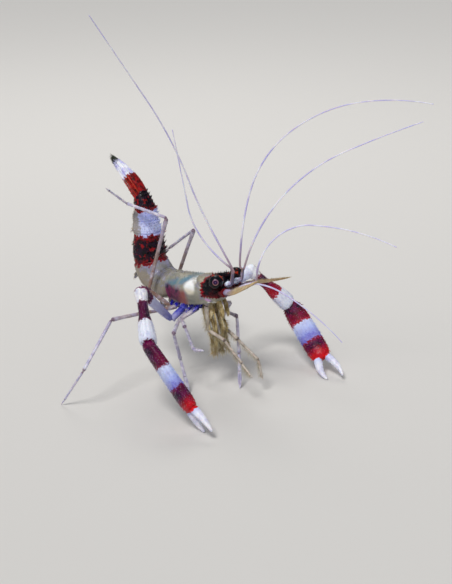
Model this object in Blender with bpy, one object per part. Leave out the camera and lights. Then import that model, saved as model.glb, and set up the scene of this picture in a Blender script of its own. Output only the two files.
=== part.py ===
"""Banded coral shrimp, life size, standing on its claws and walking legs with its abdomen raised.

The animal faces +X, its left side is +Y and the floor is z = 0.  Sizes are in millimetres while the
shapes are worked out, and become metres when a mesh is made.  Directions are given as a yaw (turned
from +X towards +Y) and a pitch (raised from the level), both in degrees.
"""
from math import atan2, cos, degrees, pi, radians, sin, sqrt

import bmesh
import bpy
from mathutils import Vector

MM = 0.001
GAP = 0.3            # clearance between neighbouring pieces
SINK = 0.45          # how far a foot runs on below the floor before it is cut flat

SIDES = {"right": -1, "left": 1}

# Colour, roughness and metallic value of each finish.
FINISHES = {
    "shell_clear": ((0.47, 0.49, 0.45), 0.25, 0.0),
    "shell_red": ((0.27, 0.015, 0.02), 0.30, 0.0),
    "shell_white": ((0.86, 0.87, 0.93), 0.30, 0.0),
    "leg_lilac": ((0.62, 0.60, 0.72), 0.30, 0.0),
    "setose_tan": ((0.52, 0.42, 0.26), 0.45, 0.0),
    "feeler": ((0.80, 0.78, 0.92), 0.35, 0.0),
    "eye_black": ((0.012, 0.008, 0.012), 0.08, 0.0),
}

# Carapace: its axis runs back from ORBIT, tilted head-up by CARAPACE_PITCH.
ORBIT = Vector((0.3, 0.0, 28.2))
CARAPACE_PITCH = 11.5
# distance behind the orbit, half width, height above the axis, depth below it
CARAPACE_STATIONS = (
    (-0.6, 1.5, 1.9, 1.2),
    (0.2, 2.9, 3.0, 2.7),
    (1.8, 3.9, 3.4, 3.5),
    (4.5, 4.5, 3.6, 4.2),
    (8.0, 4.8, 3.7, 4.9),
    (11.5, 4.8, 3.7, 5.2),
    (14.8, 4.5, 3.6, 4.9),
    (17.6, 4.2, 3.4, 4.5),
)
ROSTRUM_LENGTH = 5.2
ROSTRUM_TEETH = 5
ROSTRUM_THICKNESS = 0.9

# Abdomen, in the plane y = 0: where each joint lies (x, z), the tilt of the body there measured up
# from straight back, the half depth from back to belly and the half width.
PLEON_JOINTS = (
    (-17.5, 24.5, -10, 3.8, 4.1),
    (-20.9, 24.0, 20, 4.3, 4.3),
    (-25.6, 28.7, 74, 4.2, 4.3),
    (-26.4, 36.3, 86, 3.5, 3.6),
    (-27.2, 39.5, 88, 3.1, 3.2),
    (-27.3, 42.8, 82, 2.7, 2.8),
    (-28.9, 47.2, 62, 1.9, 2.1),
)
SOMITE_BULGE = 1.05
PLEOPOD_LENGTH = 4.0
PLEOPOD_FOLD = 48    # degrees that a swimmeret stands off the belly

TAIL_LENGTH = 12.6
TAIL_PITCH = 37
# blade: sideways place of its root, depth below the telson, how far it leans in towards the middle and
# up towards the telson, roll, length, half width, half thickness
TAIL_BLADES = {
    "telson": (0.0, 0.0, 0, 0, 0, TAIL_LENGTH, 1.5, 0.5),
    "uropod_inner": (1.15, 1.15, 3, 1, 10, 11.8, 0.95, 0.28),
    "uropod_outer": (1.5, 2.15, 4, 3, 25, 11.0, 1.15, 0.28),
}

# Head appendages, for the left side; the right side mirrors them unless it has its own heading.
EYE_CENTRE = Vector((0.0, 4.0, 30.0))
EYE_RADIUS = 1.75
EYE_HEADING = (65, 5)
EYESTALK_LENGTH = 3.3

ANTENNULE_BASE = (Vector((0.9, 1.35, 28.6)), ((2.9, 12, 28), (3.0, 18, 82)), (0.85, 0.8, 0.5))
ANTENNA_BASE = (Vector((0.4, 2.8, 27.0)), ((3.6, 8, 13), (2.6, 8, 28)), (1.1, 1.0, 0.5))
SCALE_ROOT = Vector((3.0, 4.9, 29.0))
SCALE_LENGTH = 11.0
SCALE_HALF_WIDTH = 1.35
SCALE_HALF_THICKNESS = 0.28
SCALE_HEADINGS = {"right": (-10, 27), "left": (20, 17)}

FEELER_RADIUS = (0.34, 0.26)
# feeler: root, length, headings that it passes through at even distances
FEELERS = {
    "antennule_outer_right": ((4.15, -2.3, 33.6), 76, ((198, 60), (255, 68), (251, 56), (251, 56))),
    "antennule_inner_right": ((3.05, -1.7, 33.6), 40, ((193, 31), (242, 79), (242, 79))),
    "antennule_outer_left": ((4.15, 2.3, 33.6), 60, ((32, 76), (36, 51), (37, 25), (37, 20))),
    "antennule_inner_left": ((3.05, 1.7, 33.6), 76, ((95, 88), (48, 75), (22, 40), (14, 14), (12, -4))),
    "antenna_left": ((6.5, 4.0, 29.9), 44, ((75, 88), (24, 2), (18, -20))),
    "antenna_right": ((6.7, -3.9, 29.6), 36, ((-17, 38), (3, -18), (22, -46))),
}
FEELER_STEPS = 17

# Limbs: the end of the coxa on the left side, then the length of each further segment.
LIMB_COXAE = {
    "maxilliped": Vector((-4.4, 2.6, 22.4)),
    "leg1": Vector((-7.0, 2.6, 21.2)),
    "leg2": Vector((-9.1, 2.8, 20.8)),
    "claw": Vector((-11.6, 3.1, 20.2)),
    "leg4": Vector((-14.2, 3.0, 19.8)),
    "leg5": Vector((-16.0, 2.9, 19.2)),
}
COXA_LENGTH = 2.6
COXA_TILT = 14       # degrees that a coxa leans outwards from straight down
COXA_RAKE = 0.7      # how far back a coxa's lower end lies
LIMB_LENGTHS = {
    "maxilliped": (7.0, 6.5, 7.4, 5.0),
    "leg1": (5.5, 6.5, 7.0, 5.0),
    "leg2": (5.0, 8.8, 10.5, 9.2),
    "claw": (4.5, 16.0, 16.0, 18.6),
    "leg4": (4.8, 15.0, 15.2, 12.3),
    "leg5": (7.5, 20.0, 12.5, 8.5),
}
# Radius at the coxa and then at the end of each segment.
LIMB_RADII = {
    "maxilliped": (0.75, 0.65, 0.60, 0.45, 0.26),
    "leg1": (0.80, 0.48, 0.46, 0.46, 0.27),
    "leg2": (0.85, 0.50, 0.48, 0.46, 0.27),
    "claw": (1.10, 0.90, 1.60, 1.90, 2.20),
    "leg4": (0.75, 0.55, 0.52, 0.42, 0.28),
    "leg5": (0.75, 0.55, 0.52, 0.42, 0.28),
}
# The pose: yaw and pitch of each segment after the coxa.
LIMB_POSES = {
    "maxilliped": {
        "right": ((80, -86), (-8, -9), (1, -41), (-16, -27)),
        "left": ((10, -86), (-6, -19), (17, -40), (-22, -65)),
    },
    "leg1": {
        "right": ((-117, -27), (-40, 3), (62, -70), (-17, 16)),
        "left": ((65, -12), (159, -50), (-64, -22), (155, -59)),
    },
    "leg2": {
        "right": ((-125, -45), (-57, 0), (114, -59), (-17, -62)),
        "left": ((74, -38), (-18, 6), (78, -86), (-47, -63)),
    },
    "claw": {
        "right": ((-110, -35), (-88, 43), (-39, -37), (3, -45)),
        "left": ((92, -41), (79, 28), (53, -44), (-21, -30)),
    },
    "leg4": {
        "right": ((-108, -1), (-103, 3), (-86, -42), (-165, -57)),
        "left": ((106, -1), (114, -1), (131, -40), (129, -57)),
    },
    "leg5": {
        "right": ((-137, 39), (42, 76), (-171, 9), (-97, 39)),
        "left": ((160, 2), (4, 69), (171, -37), (163, -33)),
    },
}
STANDING = (("leg2", "right"), ("leg2", "left"), ("leg4", "right"), ("leg4", "left"))
SLENDER_SIDES = 8

# Claws: roll of the opening plane, heading of each finger and length of the one that is held up.
CLAW_ROLL = {"right": 117, "left": 32}
FIXED_FINGER_SPREAD = 7      # degrees from the palm's own direction
MOVING_FINGER_SPREAD = {"right": 16, "left": 9}
FINGER_LENGTH = 7.0
# fraction of the segment's length, half width, half thickness
CARPUS_STATIONS = ((0.0, 1.1, 1.1), (0.25, 1.3, 1.2), (0.5, 1.7, 1.5), (0.75, 2.2, 1.85), (0.92, 2.45, 2.0), (1.0, 2.1, 1.7))
PALM_STATIONS = ((0.0, 1.4, 1.0), (0.07, 2.2, 1.15), (0.25, 2.6, 1.3), (0.6, 2.65, 1.45), (0.85, 2.6, 1.6), (0.97, 2.3, 1.5))

# Brush of bristly mouthparts that hangs under the head: height, fore-and-aft centre, half length, half width
MOUTH_BRUSH = ((24.2, -3.2, 1.6, 0.45), (20.0, -3.7, 2.3, 0.5), (15.5, -3.9, 2.6, 0.5),
               (11.5, -3.5, 1.9, 0.45), (8.6, -3.0, 0.8, 0.3))
MOUTH_BRUSH_OFFSET = 0.85


def heading(yaw, pitch):
    """Unit vector that points along a yaw and a pitch."""
    return Vector((cos(radians(pitch)) * cos(radians(yaw)), cos(radians(pitch)) * sin(radians(yaw)),
                   sin(radians(pitch))))


def mirrored(point, side):
    """A left-side point moved to the given side."""
    return Vector((point[0], point[1] * SIDES[side], point[2]))


def walk(start, steps):
    """Points reached from start by steps of (length, yaw, pitch)."""
    points = [Vector(start)]
    for length, yaw, pitch in steps:
        points.append(points[-1] + heading(yaw, pitch) * length)
    return points


def new_collection(name):
    """A collection linked to the scene."""
    collection = bpy.data.collections.new(name)
    bpy.context.scene.collection.children.link(collection)
    return collection


def clear_scene():
    """Remove every object of the start-up scene."""
    for obj in list(bpy.data.objects):
        bpy.data.objects.remove(obj, do_unlink=True)


def make_finishes():
    """One Principled material for each finish."""
    materials = {}
    for name, (colour, roughness, metallic) in FINISHES.items():
        material = bpy.data.materials.new(name)
        material.use_nodes = True
        shader = material.node_tree.nodes["Principled BSDF"]
        shader.inputs["Base Color"].default_value = (*colour, 1.0)
        shader.inputs["Roughness"].default_value = roughness
        shader.inputs["Metallic"].default_value = metallic
        materials[name] = material
    return materials


def ring(centre, across, upward, half_across, above, below=None, sides=SLENDER_SIDES):
    """Points of an egg-shaped section: its top and bottom halves may differ in height."""
    below = above if below is None else below
    points = []
    for i in range(sides):
        turn = 2 * pi * (i + 0.5) / sides
        rise = cos(turn) * (above if cos(turn) > 0 else below)
        points.append(centre + across * (half_across * sin(turn)) + upward * rise)
    return points


class Workshop:
    """Turns rings of points into named, closed solids under one empty."""

    def __init__(self):
        self.solids = new_collection("banded_coral_shrimp")
        self.cutters = new_collection("cutters")
        self.materials = make_finishes()
        self.root = bpy.data.objects.new("shrimp_root", None)
        self.solids.objects.link(self.root)

    def loft(self, name, rings, finish=None):
        """Skin a run of equal rings and close both ends; without a finish it is a cutter."""
        origin = sum(rings[0], Vector()) / len(rings[0])
        bm = bmesh.new()
        rows = [[bm.verts.new((p - origin) * MM) for p in points] for points in rings]
        count = len(rows[0])
        for low, high in zip(rows, rows[1:]):
            for i in range(count):
                j = (i + 1) % count
                bm.faces.new((low[i], low[j], high[j], high[i]))
        bm.faces.new(list(reversed(rows[0])))
        bm.faces.new(rows[-1])
        bmesh.ops.recalc_face_normals(bm, faces=bm.faces)
        mesh = bpy.data.meshes.new(name)
        bm.to_mesh(mesh)
        bm.free()
        obj = bpy.data.objects.new(name, mesh)
        obj.location = origin * MM
        obj.parent = self.root
        if finish is None:
            self.cutters.objects.link(obj)
            obj.hide_render = True
            obj.display_type = "WIRE"
        else:
            self.solids.objects.link(obj)
            mesh.materials.append(self.materials[finish])
            mesh.shade_smooth()
            mesh.set_sharp_from_angle(angle=radians(50))
        return obj

    def join(self, obj, other, operation="UNION"):
        """Unite an object with a helper, or cut the helper away."""
        modifier = obj.modifiers.new(f"{operation.lower()}_{other.name}", "BOOLEAN")
        modifier.operation = operation
        modifier.object = other

    def cut(self, obj, cutter):
        """Cut a helper's shape away from an object."""
        self.join(obj, cutter, "DIFFERENCE")

    def stand_on_floor_centre(self):
        """Move the whole animal so that the middle of its box stands over the origin."""
        bpy.context.view_layer.update()
        graph = bpy.context.evaluated_depsgraph_get()
        corners = []
        for obj in self.solids.objects:
            if obj.type == "MESH":
                shape = obj.evaluated_get(graph)
                corners += [shape.matrix_world @ Vector(corner) for corner in shape.bound_box]
        low = [min(c[i] for c in corners) for i in range(3)]
        high = [max(c[i] for c in corners) for i in range(3)]
        self.root.location = (-(low[0] + high[0]) / 2, -(low[1] + high[1]) / 2, -low[2])


def eased_path(points, radii):
    """Replace each sharp bend by two gentler ones, so that a tube keeps its thickness round it."""
    path = [(points[0], radii[0])]
    for before, here, after, radius in zip(points, points[1:], points[2:], radii[1:]):
        inward = (here - before).normalized()
        outward = (after - here).normalized()
        if degrees(inward.angle(outward)) > 35:
            path.append((here - inward * radius * 0.7, radius))
            path.append((here + outward * radius * 0.7, radius))
        else:
            path.append((here, radius))
    path.append((points[-1], radii[-1]))
    return path


def tube_rings(points, radii, sides=SLENDER_SIDES, ball_start=False, tip=True):
    """Rings of a tapered tube through points, with a ball at its start or a rounded tip on request."""
    path = eased_path(points, radii)
    centres = [p for p, _ in path]
    tangents = [(b - a).normalized() for a, b in zip(centres, centres[1:])]
    first, last = tangents[0], tangents[-1]
    side = first.cross(Vector((0, 0, 1)))
    if side.length < 0.2:
        side = first.cross(Vector((0, 1, 0)))
    side.normalize()
    rings = []
    if ball_start:
        radius = radii[0]
        up = side.cross(first)
        for back, share in ((0.92, 0.38), (0.62, 0.78)):
            rings.append(ring(centres[0] - first * radius * back, side, up, radius * share, radius * share,
                              sides=sides))
    for i, (centre, radius) in enumerate(path):
        before = tangents[max(i - 1, 0)]
        after = tangents[min(i, len(tangents) - 1)]
        axis = (before + after).normalized()
        side = (side - axis * side.dot(axis)).normalized()
        stretch = 1.0 / max(cos(before.angle(after, 0.0) / 2), 0.6)
        bend = before.cross(after)
        up = side.cross(axis)
        points_here = ring(centre, side, up, radius, radius, sides=sides)
        if bend.length > 1e-4:
            inward = bend.normalized().cross(axis)
            points_here = [p + inward * (p - centre).dot(inward) * (stretch - 1.0) for p in points_here]
        rings.append(points_here)
    if tip:
        radius = radii[-1]
        rings.append(ring(centres[-1] + last * radius * 0.7, side, side.cross(last), radius * 0.55,
                          radius * 0.55, sides=sides))
    return rings


def setback(ball, end_radius, before, after):
    """How far a segment stops short of a joint, to clear the next one's ball and the way that it bends."""
    opening = pi - before.angle(after)
    clear = ball + GAP
    if opening < pi / 2:
        clear = max(clear, (ball + GAP + end_radius * cos(opening)) / sin(opening))
    return clear


def carapace_frame():
    """Backward and upward directions of the carapace."""
    forward = heading(0, CARAPACE_PITCH)
    return -forward, Vector((-sin(radians(CARAPACE_PITCH)), 0, cos(radians(CARAPACE_PITCH))))


def carapace_rings(extra=0.0):
    """Sections of the carapace, grown by extra for a clearance shape."""
    back, up = carapace_frame()
    last = len(CARAPACE_STATIONS) - 1
    rings = []
    for i, (distance, half_width, above, below) in enumerate(CARAPACE_STATIONS):
        end_growth = {0: -extra, last: extra}.get(i, 0.0)
        centre = ORBIT + back * (distance + end_growth)
        rings.append(ring(centre, Vector((0, 1, 0)), up, half_width + extra, above + extra, below + extra,
                          sides=20))
    return rings


def make_rostrum(shop):
    """Toothed blade that runs forward from the top of the head, as a helper to be united."""
    back, up = carapace_frame()
    top = ORBIT + up * 3.0 + back * 2.2
    rings = []
    steps = ROSTRUM_TEETH * 2
    length = ROSTRUM_LENGTH + 2.2
    for i in range(steps + 1):
        share = i / steps
        centre = top - back * length * share + up * 0.25 * sin(share * pi / 2)
        height = 1.15 * (1 - share) + 0.22 + (0.38 if i % 2 else 0.0) * (1 - 0.5 * share)
        width = ROSTRUM_THICKNESS / 2 * (1 - 0.45 * share)
        rings.append(ring(centre, Vector((0, 1, 0)), up, width, height, 0.9 * (1 - share) + 0.25, sides=8))
    return shop.loft("rostrum_blade", rings)


def eye_rings(side, extra=0.0):
    """A short stalk that swells into the round cornea, turned about one axis."""
    axis = heading(EYE_HEADING[0] * SIDES[side], EYE_HEADING[1])
    centre = mirrored(EYE_CENTRE, side)
    across = axis.cross(Vector((0, 0, 1))).normalized()
    up = across.cross(axis)
    profile = [(-EYESTALK_LENGTH, 0.75), (-EYESTALK_LENGTH + 0.7, 0.95), (-1.75, 1.05)]
    for step in range(7):
        turn = radians(-50 + step * 21)
        profile.append((EYE_RADIUS * sin(turn), EYE_RADIUS * cos(turn)))
    rings = []
    for i, (along, radius) in enumerate(profile):
        shift = -extra if i == 0 else (extra if i == len(profile) - 1 else 0.0)
        rings.append(ring(centre + axis * (along + shift), across, up, radius + extra, radius + extra, sides=14))
    return rings


def make_carapace(shop):
    """Carapace with its rostrum and the two eye sockets."""
    carapace = shop.loft("carapace", carapace_rings(), "shell_clear")
    shop.join(carapace, make_rostrum(shop))
    for side in SIDES:
        shop.cut(carapace, shop.loft(f"orbit_{side}", eye_rings(side, GAP)))
    return shop.loft("carapace_clearance", carapace_rings(GAP))


def pleon_station(index, shift=0.0, grow=1.0):
    """Centre, directions and half sizes of the abdomen at a joint, moved along it by shift."""
    x, z, tilt, half_depth, half_width = PLEON_JOINTS[index]
    along = Vector((-cos(radians(tilt)), 0, sin(radians(tilt))))
    dorsal = Vector((sin(radians(tilt)), 0, cos(radians(tilt))))
    return Vector((x, 0, z)) + along * shift, along, dorsal, half_depth * grow, half_width * grow


def make_pleon(shop):
    """The six somites of the abdomen; the first five carry a pair of folded swimmerets."""
    finishes = ("shell_clear", "shell_clear", "shell_red", "shell_white", "shell_white", "shell_red")
    for number in range(1, 7):
        head_end = pleon_station(number - 1, GAP / 2)
        tail_end = pleon_station(number, -GAP / 2)
        rings = []
        for share in (0.0, 0.35, 0.7, 1.0):
            grow = SOMITE_BULGE if 0 < share < 1 else 1.0
            centre = head_end[0].lerp(tail_end[0], share)
            dorsal = head_end[2].lerp(tail_end[2], share).normalized()
            depth = (head_end[3] + (tail_end[3] - head_end[3]) * share) * grow
            width = (head_end[4] + (tail_end[4] - head_end[4]) * share) * grow
            if 0 < share < 1:
                belly_side = head_end[1].cross(tail_end[1]).length
                centre = centre - dorsal * belly_side * 0.6
            rings.append(ring(centre, Vector((0, 1, 0)), dorsal, width, depth * 0.97, depth, sides=16))
        somite = shop.loft(f"pleon_{number}", rings, finishes[number - 1])
        if number < 6:
            for side, sign in SIDES.items():
                shop.join(somite, make_pleopod(shop, number, side, sign))


def make_pleopod(shop, number, side, sign):
    """Paddle-shaped swimmeret that lies along the belly towards the head."""
    centre, along, dorsal, half_depth, half_width = pleon_station(number, -1.3)
    size = half_depth / 4.2
    root = centre - dorsal * (half_depth * 0.75) + Vector((0, sign * half_width * 0.42, 0))
    fold = radians(PLEOPOD_FOLD)
    run = (-along * cos(fold) - dorsal * sin(fold)).normalized()
    flat = run.cross(Vector((0, 1, 0))).normalized()
    rings = []
    for share, half_width_here in ((0.0, 0.55), (0.25, 0.8), (0.6, 1.0), (0.9, 0.7), (1.0, 0.3)):
        rings.append(ring(root + run * PLEOPOD_LENGTH * size * share, Vector((0, 1, 0)), flat,
                          half_width_here * size, 0.3, sides=8))
    return shop.loft(f"swimmeret_{number}_{side}", rings)


def make_tail_fan(shop):
    """Telson and the two blades on each side of it."""
    back = pleon_station(6, 0.7)[0]
    for name, (offset, depth, lean_in, lean_up, roll, length, half_width, half_thickness) in TAIL_BLADES.items():
        sides = {"": 1} if offset == 0 else {f"_{side}": sign for side, sign in SIDES.items()}
        for suffix, sign in sides.items():
            run = heading(180 + sign * lean_in, TAIL_PITCH + lean_up)
            level = heading(90 + sign * lean_in, 0)
            above = level.cross(run)
            root = back - above * depth + Vector((0, sign * offset, 0))
            across = level * cos(radians(roll)) - above * sign * sin(radians(roll))
            up = across.cross(run)
            rings = []
            for share, width, thick in ((0.0, 0.9, 1.3), (0.15, 1.0, 1.2), (0.4, 0.92, 1.0), (0.7, 0.62, 1.0),
                                        (0.93, 0.32, 0.95), (1.0, 0.17, 0.9)):
                rings.append(ring(root + run * length * share, across, up, half_width * width,
                                  half_thickness * thick, sides=10))
            shop.loft(name + suffix, rings, "shell_white")


def make_head(shop, clearance):
    """Eyes, the stems of both pairs of feelers, and the antennal scales."""
    for side, sign in SIDES.items():
        shop.loft(f"eye_{side}", eye_rings(side), "eye_black")
        for part, (root, steps, radii) in (("antennule_base", ANTENNULE_BASE), ("antenna_base", ANTENNA_BASE)):
            turned = [(length, yaw * sign, pitch) for length, yaw, pitch in steps]
            points = walk(mirrored(root, side), turned)
            stem = shop.loft(f"{part}_{side}", tube_rings(points, radii, tip=False), "shell_white")
            shop.cut(stem, clearance)
        make_scale(shop, side)


def make_scale(shop, side):
    """Leaf-shaped antennal scale that points forward beside the feelers."""
    run = heading(*SCALE_HEADINGS[side])
    sign = SIDES[side]
    across = heading(SCALE_HEADINGS[side][0] + 90, 0)
    up = run.cross(across)
    roll = radians(35)
    across, up = across * cos(roll) - up * sign * sin(roll), up * cos(roll) + across * sign * sin(roll)
    root = mirrored(SCALE_ROOT, side)
    rings = []
    for share, width in ((0.0, 0.35), (0.12, 0.8), (0.3, 1.0), (0.55, 0.72), (0.8, 0.45), (1.0, 0.2)):
        sweep = across * sign * 0.5 * sin(share * pi)
        rings.append(ring(root + run * SCALE_LENGTH * share + sweep, across, up, SCALE_HALF_WIDTH * width,
                          SCALE_HALF_THICKNESS, sides=8))
    shop.loft(f"antenna_scale_{side}", rings, "setose_tan")


def feeler_points(root, length, headings, steps=FEELER_STEPS):
    """Points along a feeler whose heading changes evenly between the given headings."""
    points = [Vector(root)]
    for i in range(steps):
        place = (i + 0.5) / steps * (len(headings) - 1)
        index = min(int(place), len(headings) - 2)
        share = place - index
        (yaw_a, pitch_a), (yaw_b, pitch_b) = headings[index], headings[index + 1]
        points.append(points[-1] + heading(yaw_a + (yaw_b - yaw_a) * share, pitch_a + (pitch_b - pitch_a) * share)
                      * (length / steps))
    return points


def make_feelers(shop):
    """The four flagella of the antennules and the two of the antennae."""
    for name, (root, length, headings) in FEELERS.items():
        points = feeler_points(root, length, headings)
        thick, thin = FEELER_RADIUS
        radii = [thick + (thin - thick) * i / FEELER_STEPS for i in range(FEELER_STEPS + 1)]
        shop.loft(name, tube_rings(points, radii, sides=6), "feeler")


def limb_points(limb, side):
    """Root inside the thorax, end of the coxa, and then the end of each segment."""
    coxa_end = mirrored(LIMB_COXAE[limb], side)
    lean = radians(COXA_TILT)
    root = coxa_end + Vector((0, -SIDES[side] * sin(lean), cos(lean))) * COXA_LENGTH
    root.x += COXA_RAKE
    steps = [(length, yaw, pitch) for length, (yaw, pitch) in zip(LIMB_LENGTHS[limb], LIMB_POSES[limb][side])]
    return [root] + walk(coxa_end, steps)


def to_floor(start, run):
    """The point below the floor at which a straight segment that leaves start ends before it is cut."""
    return start + run * ((start.z + SINK) / -run.z)


def make_slender_limb(shop, limb, side, finish, clearance, floor):
    """A limb of two pieces that meet at the knee: coxa to merus, and carpus to tip."""
    points = limb_points(limb, side)
    radii = [LIMB_RADII[limb][0], *LIMB_RADII[limb]]
    standing = (limb, side) in STANDING
    if standing:
        points[-1] = to_floor(points[-2], heading(*LIMB_POSES[limb][side][-1]))
    knee = 3
    before = (points[knee] - points[knee - 1]).normalized()
    after = (points[knee + 1] - points[knee]).normalized()
    stop = setback(radii[knee], radii[knee], before, after)
    upper_points = points[:knee] + [points[knee] - before * stop]
    upper = shop.loft(f"{limb}_upper_{side}", tube_rings(upper_points, radii[:knee + 1], tip=False), finish)
    shop.cut(upper, clearance)
    lower = shop.loft(f"{limb}_lower_{side}",
                      tube_rings(points[knee:], radii[knee:], ball_start=True, tip=not standing), finish)
    if standing:
        shop.cut(lower, floor)


def section_axes(run, roll):
    """Width and thickness directions of a flattened segment, turned about its run by roll degrees."""
    level = Vector((0, 0, 1)).cross(run).normalized()
    upward = run.cross(level)
    turn = radians(roll)
    width = level * cos(turn) + upward * sin(turn)
    return width, run.cross(width)


def flattened_rings(start, run, length, stations, roll):
    """Rings of a flattened segment whose sections are given along its length."""
    width_axis, thick_axis = section_axes(run, roll)
    return [ring(start + run * length * share, width_axis, thick_axis, half_width, half_thickness, sides=12)
            for share, half_width, half_thickness in stations]


def finger_rings(base, tip, inward, half_width, half_thickness, roll, share_from=0.0):
    """Rings of a tapering finger whose point hooks inward a little."""
    run = (tip - base).normalized()
    width_axis, thick_axis = section_axes(run, roll)
    rings = []
    for share, size in ((0.0, 1.0), (0.35, 0.88), (0.7, 0.6), (0.92, 0.36), (1.0, 0.28)):
        if share < share_from:
            continue
        bow = -inward * 0.45 * sin(share * pi)
        rings.append(ring(base.lerp(tip, share) + bow, width_axis, thick_axis, half_width * size,
                          half_thickness * size, sides=12))
    return rings


def make_claw(shop, side, clearance, floor):
    """The large third leg: base, merus, carpus, palm with its fixed finger, and the moving finger."""
    points = limb_points("claw", side)
    radii = [LIMB_RADII["claw"][0], *LIMB_RADII["claw"]]
    runs = [(b - a).normalized() for a, b in zip(points, points[1:])]
    roll = CLAW_ROLL[side]

    stop = setback(radii[2], radii[2], runs[1], runs[2])
    base_points = [points[0], points[1], points[2] - runs[1] * stop]
    base = shop.loft(f"claw_base_{side}", tube_rings(base_points, radii[:3], sides=10, tip=False), "leg_lilac")
    shop.cut(base, clearance)

    knee_ball = CARPUS_STATIONS[0][1]
    stop = setback(knee_ball, radii[3], runs[2], runs[3])
    merus_points = [points[2], points[3] - runs[2] * stop]
    shop.loft(f"claw_merus_{side}",
              tube_rings(merus_points, (radii[2], radii[3]), sides=10, ball_start=True, tip=False), "leg_lilac")

    wrist_ball = PALM_STATIONS[0][1]
    stop = setback(wrist_ball, CARPUS_STATIONS[-1][1], runs[3], runs[4])
    length = (points[4] - points[3]).length - stop
    rings = flattened_rings(points[3], runs[3], length, CARPUS_STATIONS, roll)
    cap = flattened_rings(points[3] - runs[3] * knee_ball * 0.8, runs[3], 1.0, ((0.0, 0.6, 0.55),), roll)
    shop.loft(f"claw_carpus_{side}", cap + rings, "shell_red")

    length = (points[5] - points[4]).length
    palm = flattened_rings(points[4], runs[4], length, PALM_STATIONS, roll)
    cap = flattened_rings(points[4] - runs[4] * wrist_ball * 0.8, runs[4], 1.0, ((0.0, 0.75, 0.7),), roll)
    width_axis, _ = section_axes(runs[4], roll)
    fixed_base = points[5] - runs[4] * 0.2 - width_axis * 1.25
    spread = radians(FIXED_FINGER_SPREAD)
    fixed_tip = to_floor(fixed_base, runs[4] * cos(spread) - width_axis * sin(spread))
    palm += finger_rings(fixed_base, fixed_tip, width_axis, 1.1, 1.2, roll)
    palm_object = shop.loft(f"claw_palm_{side}", cap + palm, "shell_red")
    shop.cut(palm_object, floor)

    moving_base = points[5] + runs[4] * 0.85 + width_axis * 1.3
    spread = radians(MOVING_FINGER_SPREAD[side])
    run = runs[4] * cos(spread) + width_axis * sin(spread)
    moving = finger_rings(moving_base, moving_base + run * FINGER_LENGTH, -width_axis, 0.95, 1.15, roll)
    heel_width, heel_thick = section_axes(run, roll)
    heel = ring(moving_base - run * 0.45, heel_width, heel_thick, 0.5, 0.7, sides=12)
    shop.loft(f"claw_finger_{side}", [heel] + moving, "shell_white")


def make_mouth_brush(shop, side, clearance):
    """Flat brush of bristly mouthparts beside the middle of the mouth."""
    sign = SIDES[side]
    rings = []
    for height, forward, half_length, half_width in MOUTH_BRUSH:
        rings.append(ring(Vector((forward, sign * MOUTH_BRUSH_OFFSET, height)), Vector((1, 0, 0)),
                          Vector((0, sign, 0)), half_length, half_width, sides=10))
    brush = shop.loft(f"mouth_brush_{side}", rings, "setose_tan")
    shop.cut(brush, clearance)


def make_limbs(shop, clearance):
    """Third maxillipeds, mouth brushes and the five pairs of legs."""
    floor = shop.loft("floor_cut", [
        ring(Vector((0, 0, z)), Vector((1, 0, 0)), Vector((0, 1, 0)), 90, 90, sides=4) for z in (-12, 0)])
    finishes = {"maxilliped": "setose_tan", "leg1": "leg_lilac", "leg2": "leg_lilac", "leg4": "leg_lilac",
                "leg5": "leg_lilac"}
    for side in SIDES:
        for limb, finish in finishes.items():
            make_slender_limb(shop, limb, side, finish, clearance, floor)
        make_claw(shop, side, clearance, floor)
        make_mouth_brush(shop, side, clearance)


def main():
    """Build the animal from head to tail."""
    clear_scene()
    shop = Workshop()
    clearance = make_carapace(shop)
    make_pleon(shop)
    make_tail_fan(shop)
    make_head(shop, clearance)
    make_feelers(shop)
    make_limbs(shop, clearance)
    shop.stand_on_floor_centre()


main()
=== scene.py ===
"""Banded coral shrimp, life size, as a museum model: shell, eyes, limbs, feelers and bristles in full detail.

Shapes are worked out in millimetres in the animal's own frame: it faces +X, its left side is +Y, and the
floor is z = 0.  ``Place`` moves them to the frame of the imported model, in metres.  A direction is given as a
yaw (turned from +X towards +Y) and a pitch (raised from the level), both in degrees.
"""

import logging
from dataclasses import dataclass, field, replace
from enum import Enum
from math import cos, pi, radians, sin
from typing import Callable, Iterable, Sequence

import bmesh
import bpy
import numpy as np
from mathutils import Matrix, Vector

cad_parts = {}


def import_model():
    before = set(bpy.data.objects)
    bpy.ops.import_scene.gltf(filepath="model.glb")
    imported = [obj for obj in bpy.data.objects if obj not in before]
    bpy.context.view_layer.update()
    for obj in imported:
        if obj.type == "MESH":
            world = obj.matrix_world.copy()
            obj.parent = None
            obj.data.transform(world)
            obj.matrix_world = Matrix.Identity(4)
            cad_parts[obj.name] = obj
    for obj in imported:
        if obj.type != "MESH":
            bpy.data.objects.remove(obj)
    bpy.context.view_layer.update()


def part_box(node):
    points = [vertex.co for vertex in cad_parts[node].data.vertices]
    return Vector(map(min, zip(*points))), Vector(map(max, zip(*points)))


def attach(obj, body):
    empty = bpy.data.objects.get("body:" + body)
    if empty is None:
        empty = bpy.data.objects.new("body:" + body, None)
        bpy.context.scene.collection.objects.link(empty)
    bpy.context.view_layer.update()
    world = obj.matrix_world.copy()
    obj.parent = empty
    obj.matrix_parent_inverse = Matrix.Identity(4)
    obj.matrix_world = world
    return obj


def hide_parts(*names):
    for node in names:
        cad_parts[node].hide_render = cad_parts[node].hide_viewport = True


MM = 0.001
LOG = logging.getLogger("shrimp")
EDGES = (pi / 2, -pi / 2)  # turns of the two edges of a section

Array = np.ndarray
Relief = Callable[[Array, Array, Array], Array]
Object = bpy.types.Object
Pair = tuple[float, float]
Triple = tuple[float, float, float]
Table = tuple[tuple[float, ...], ...]


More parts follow.
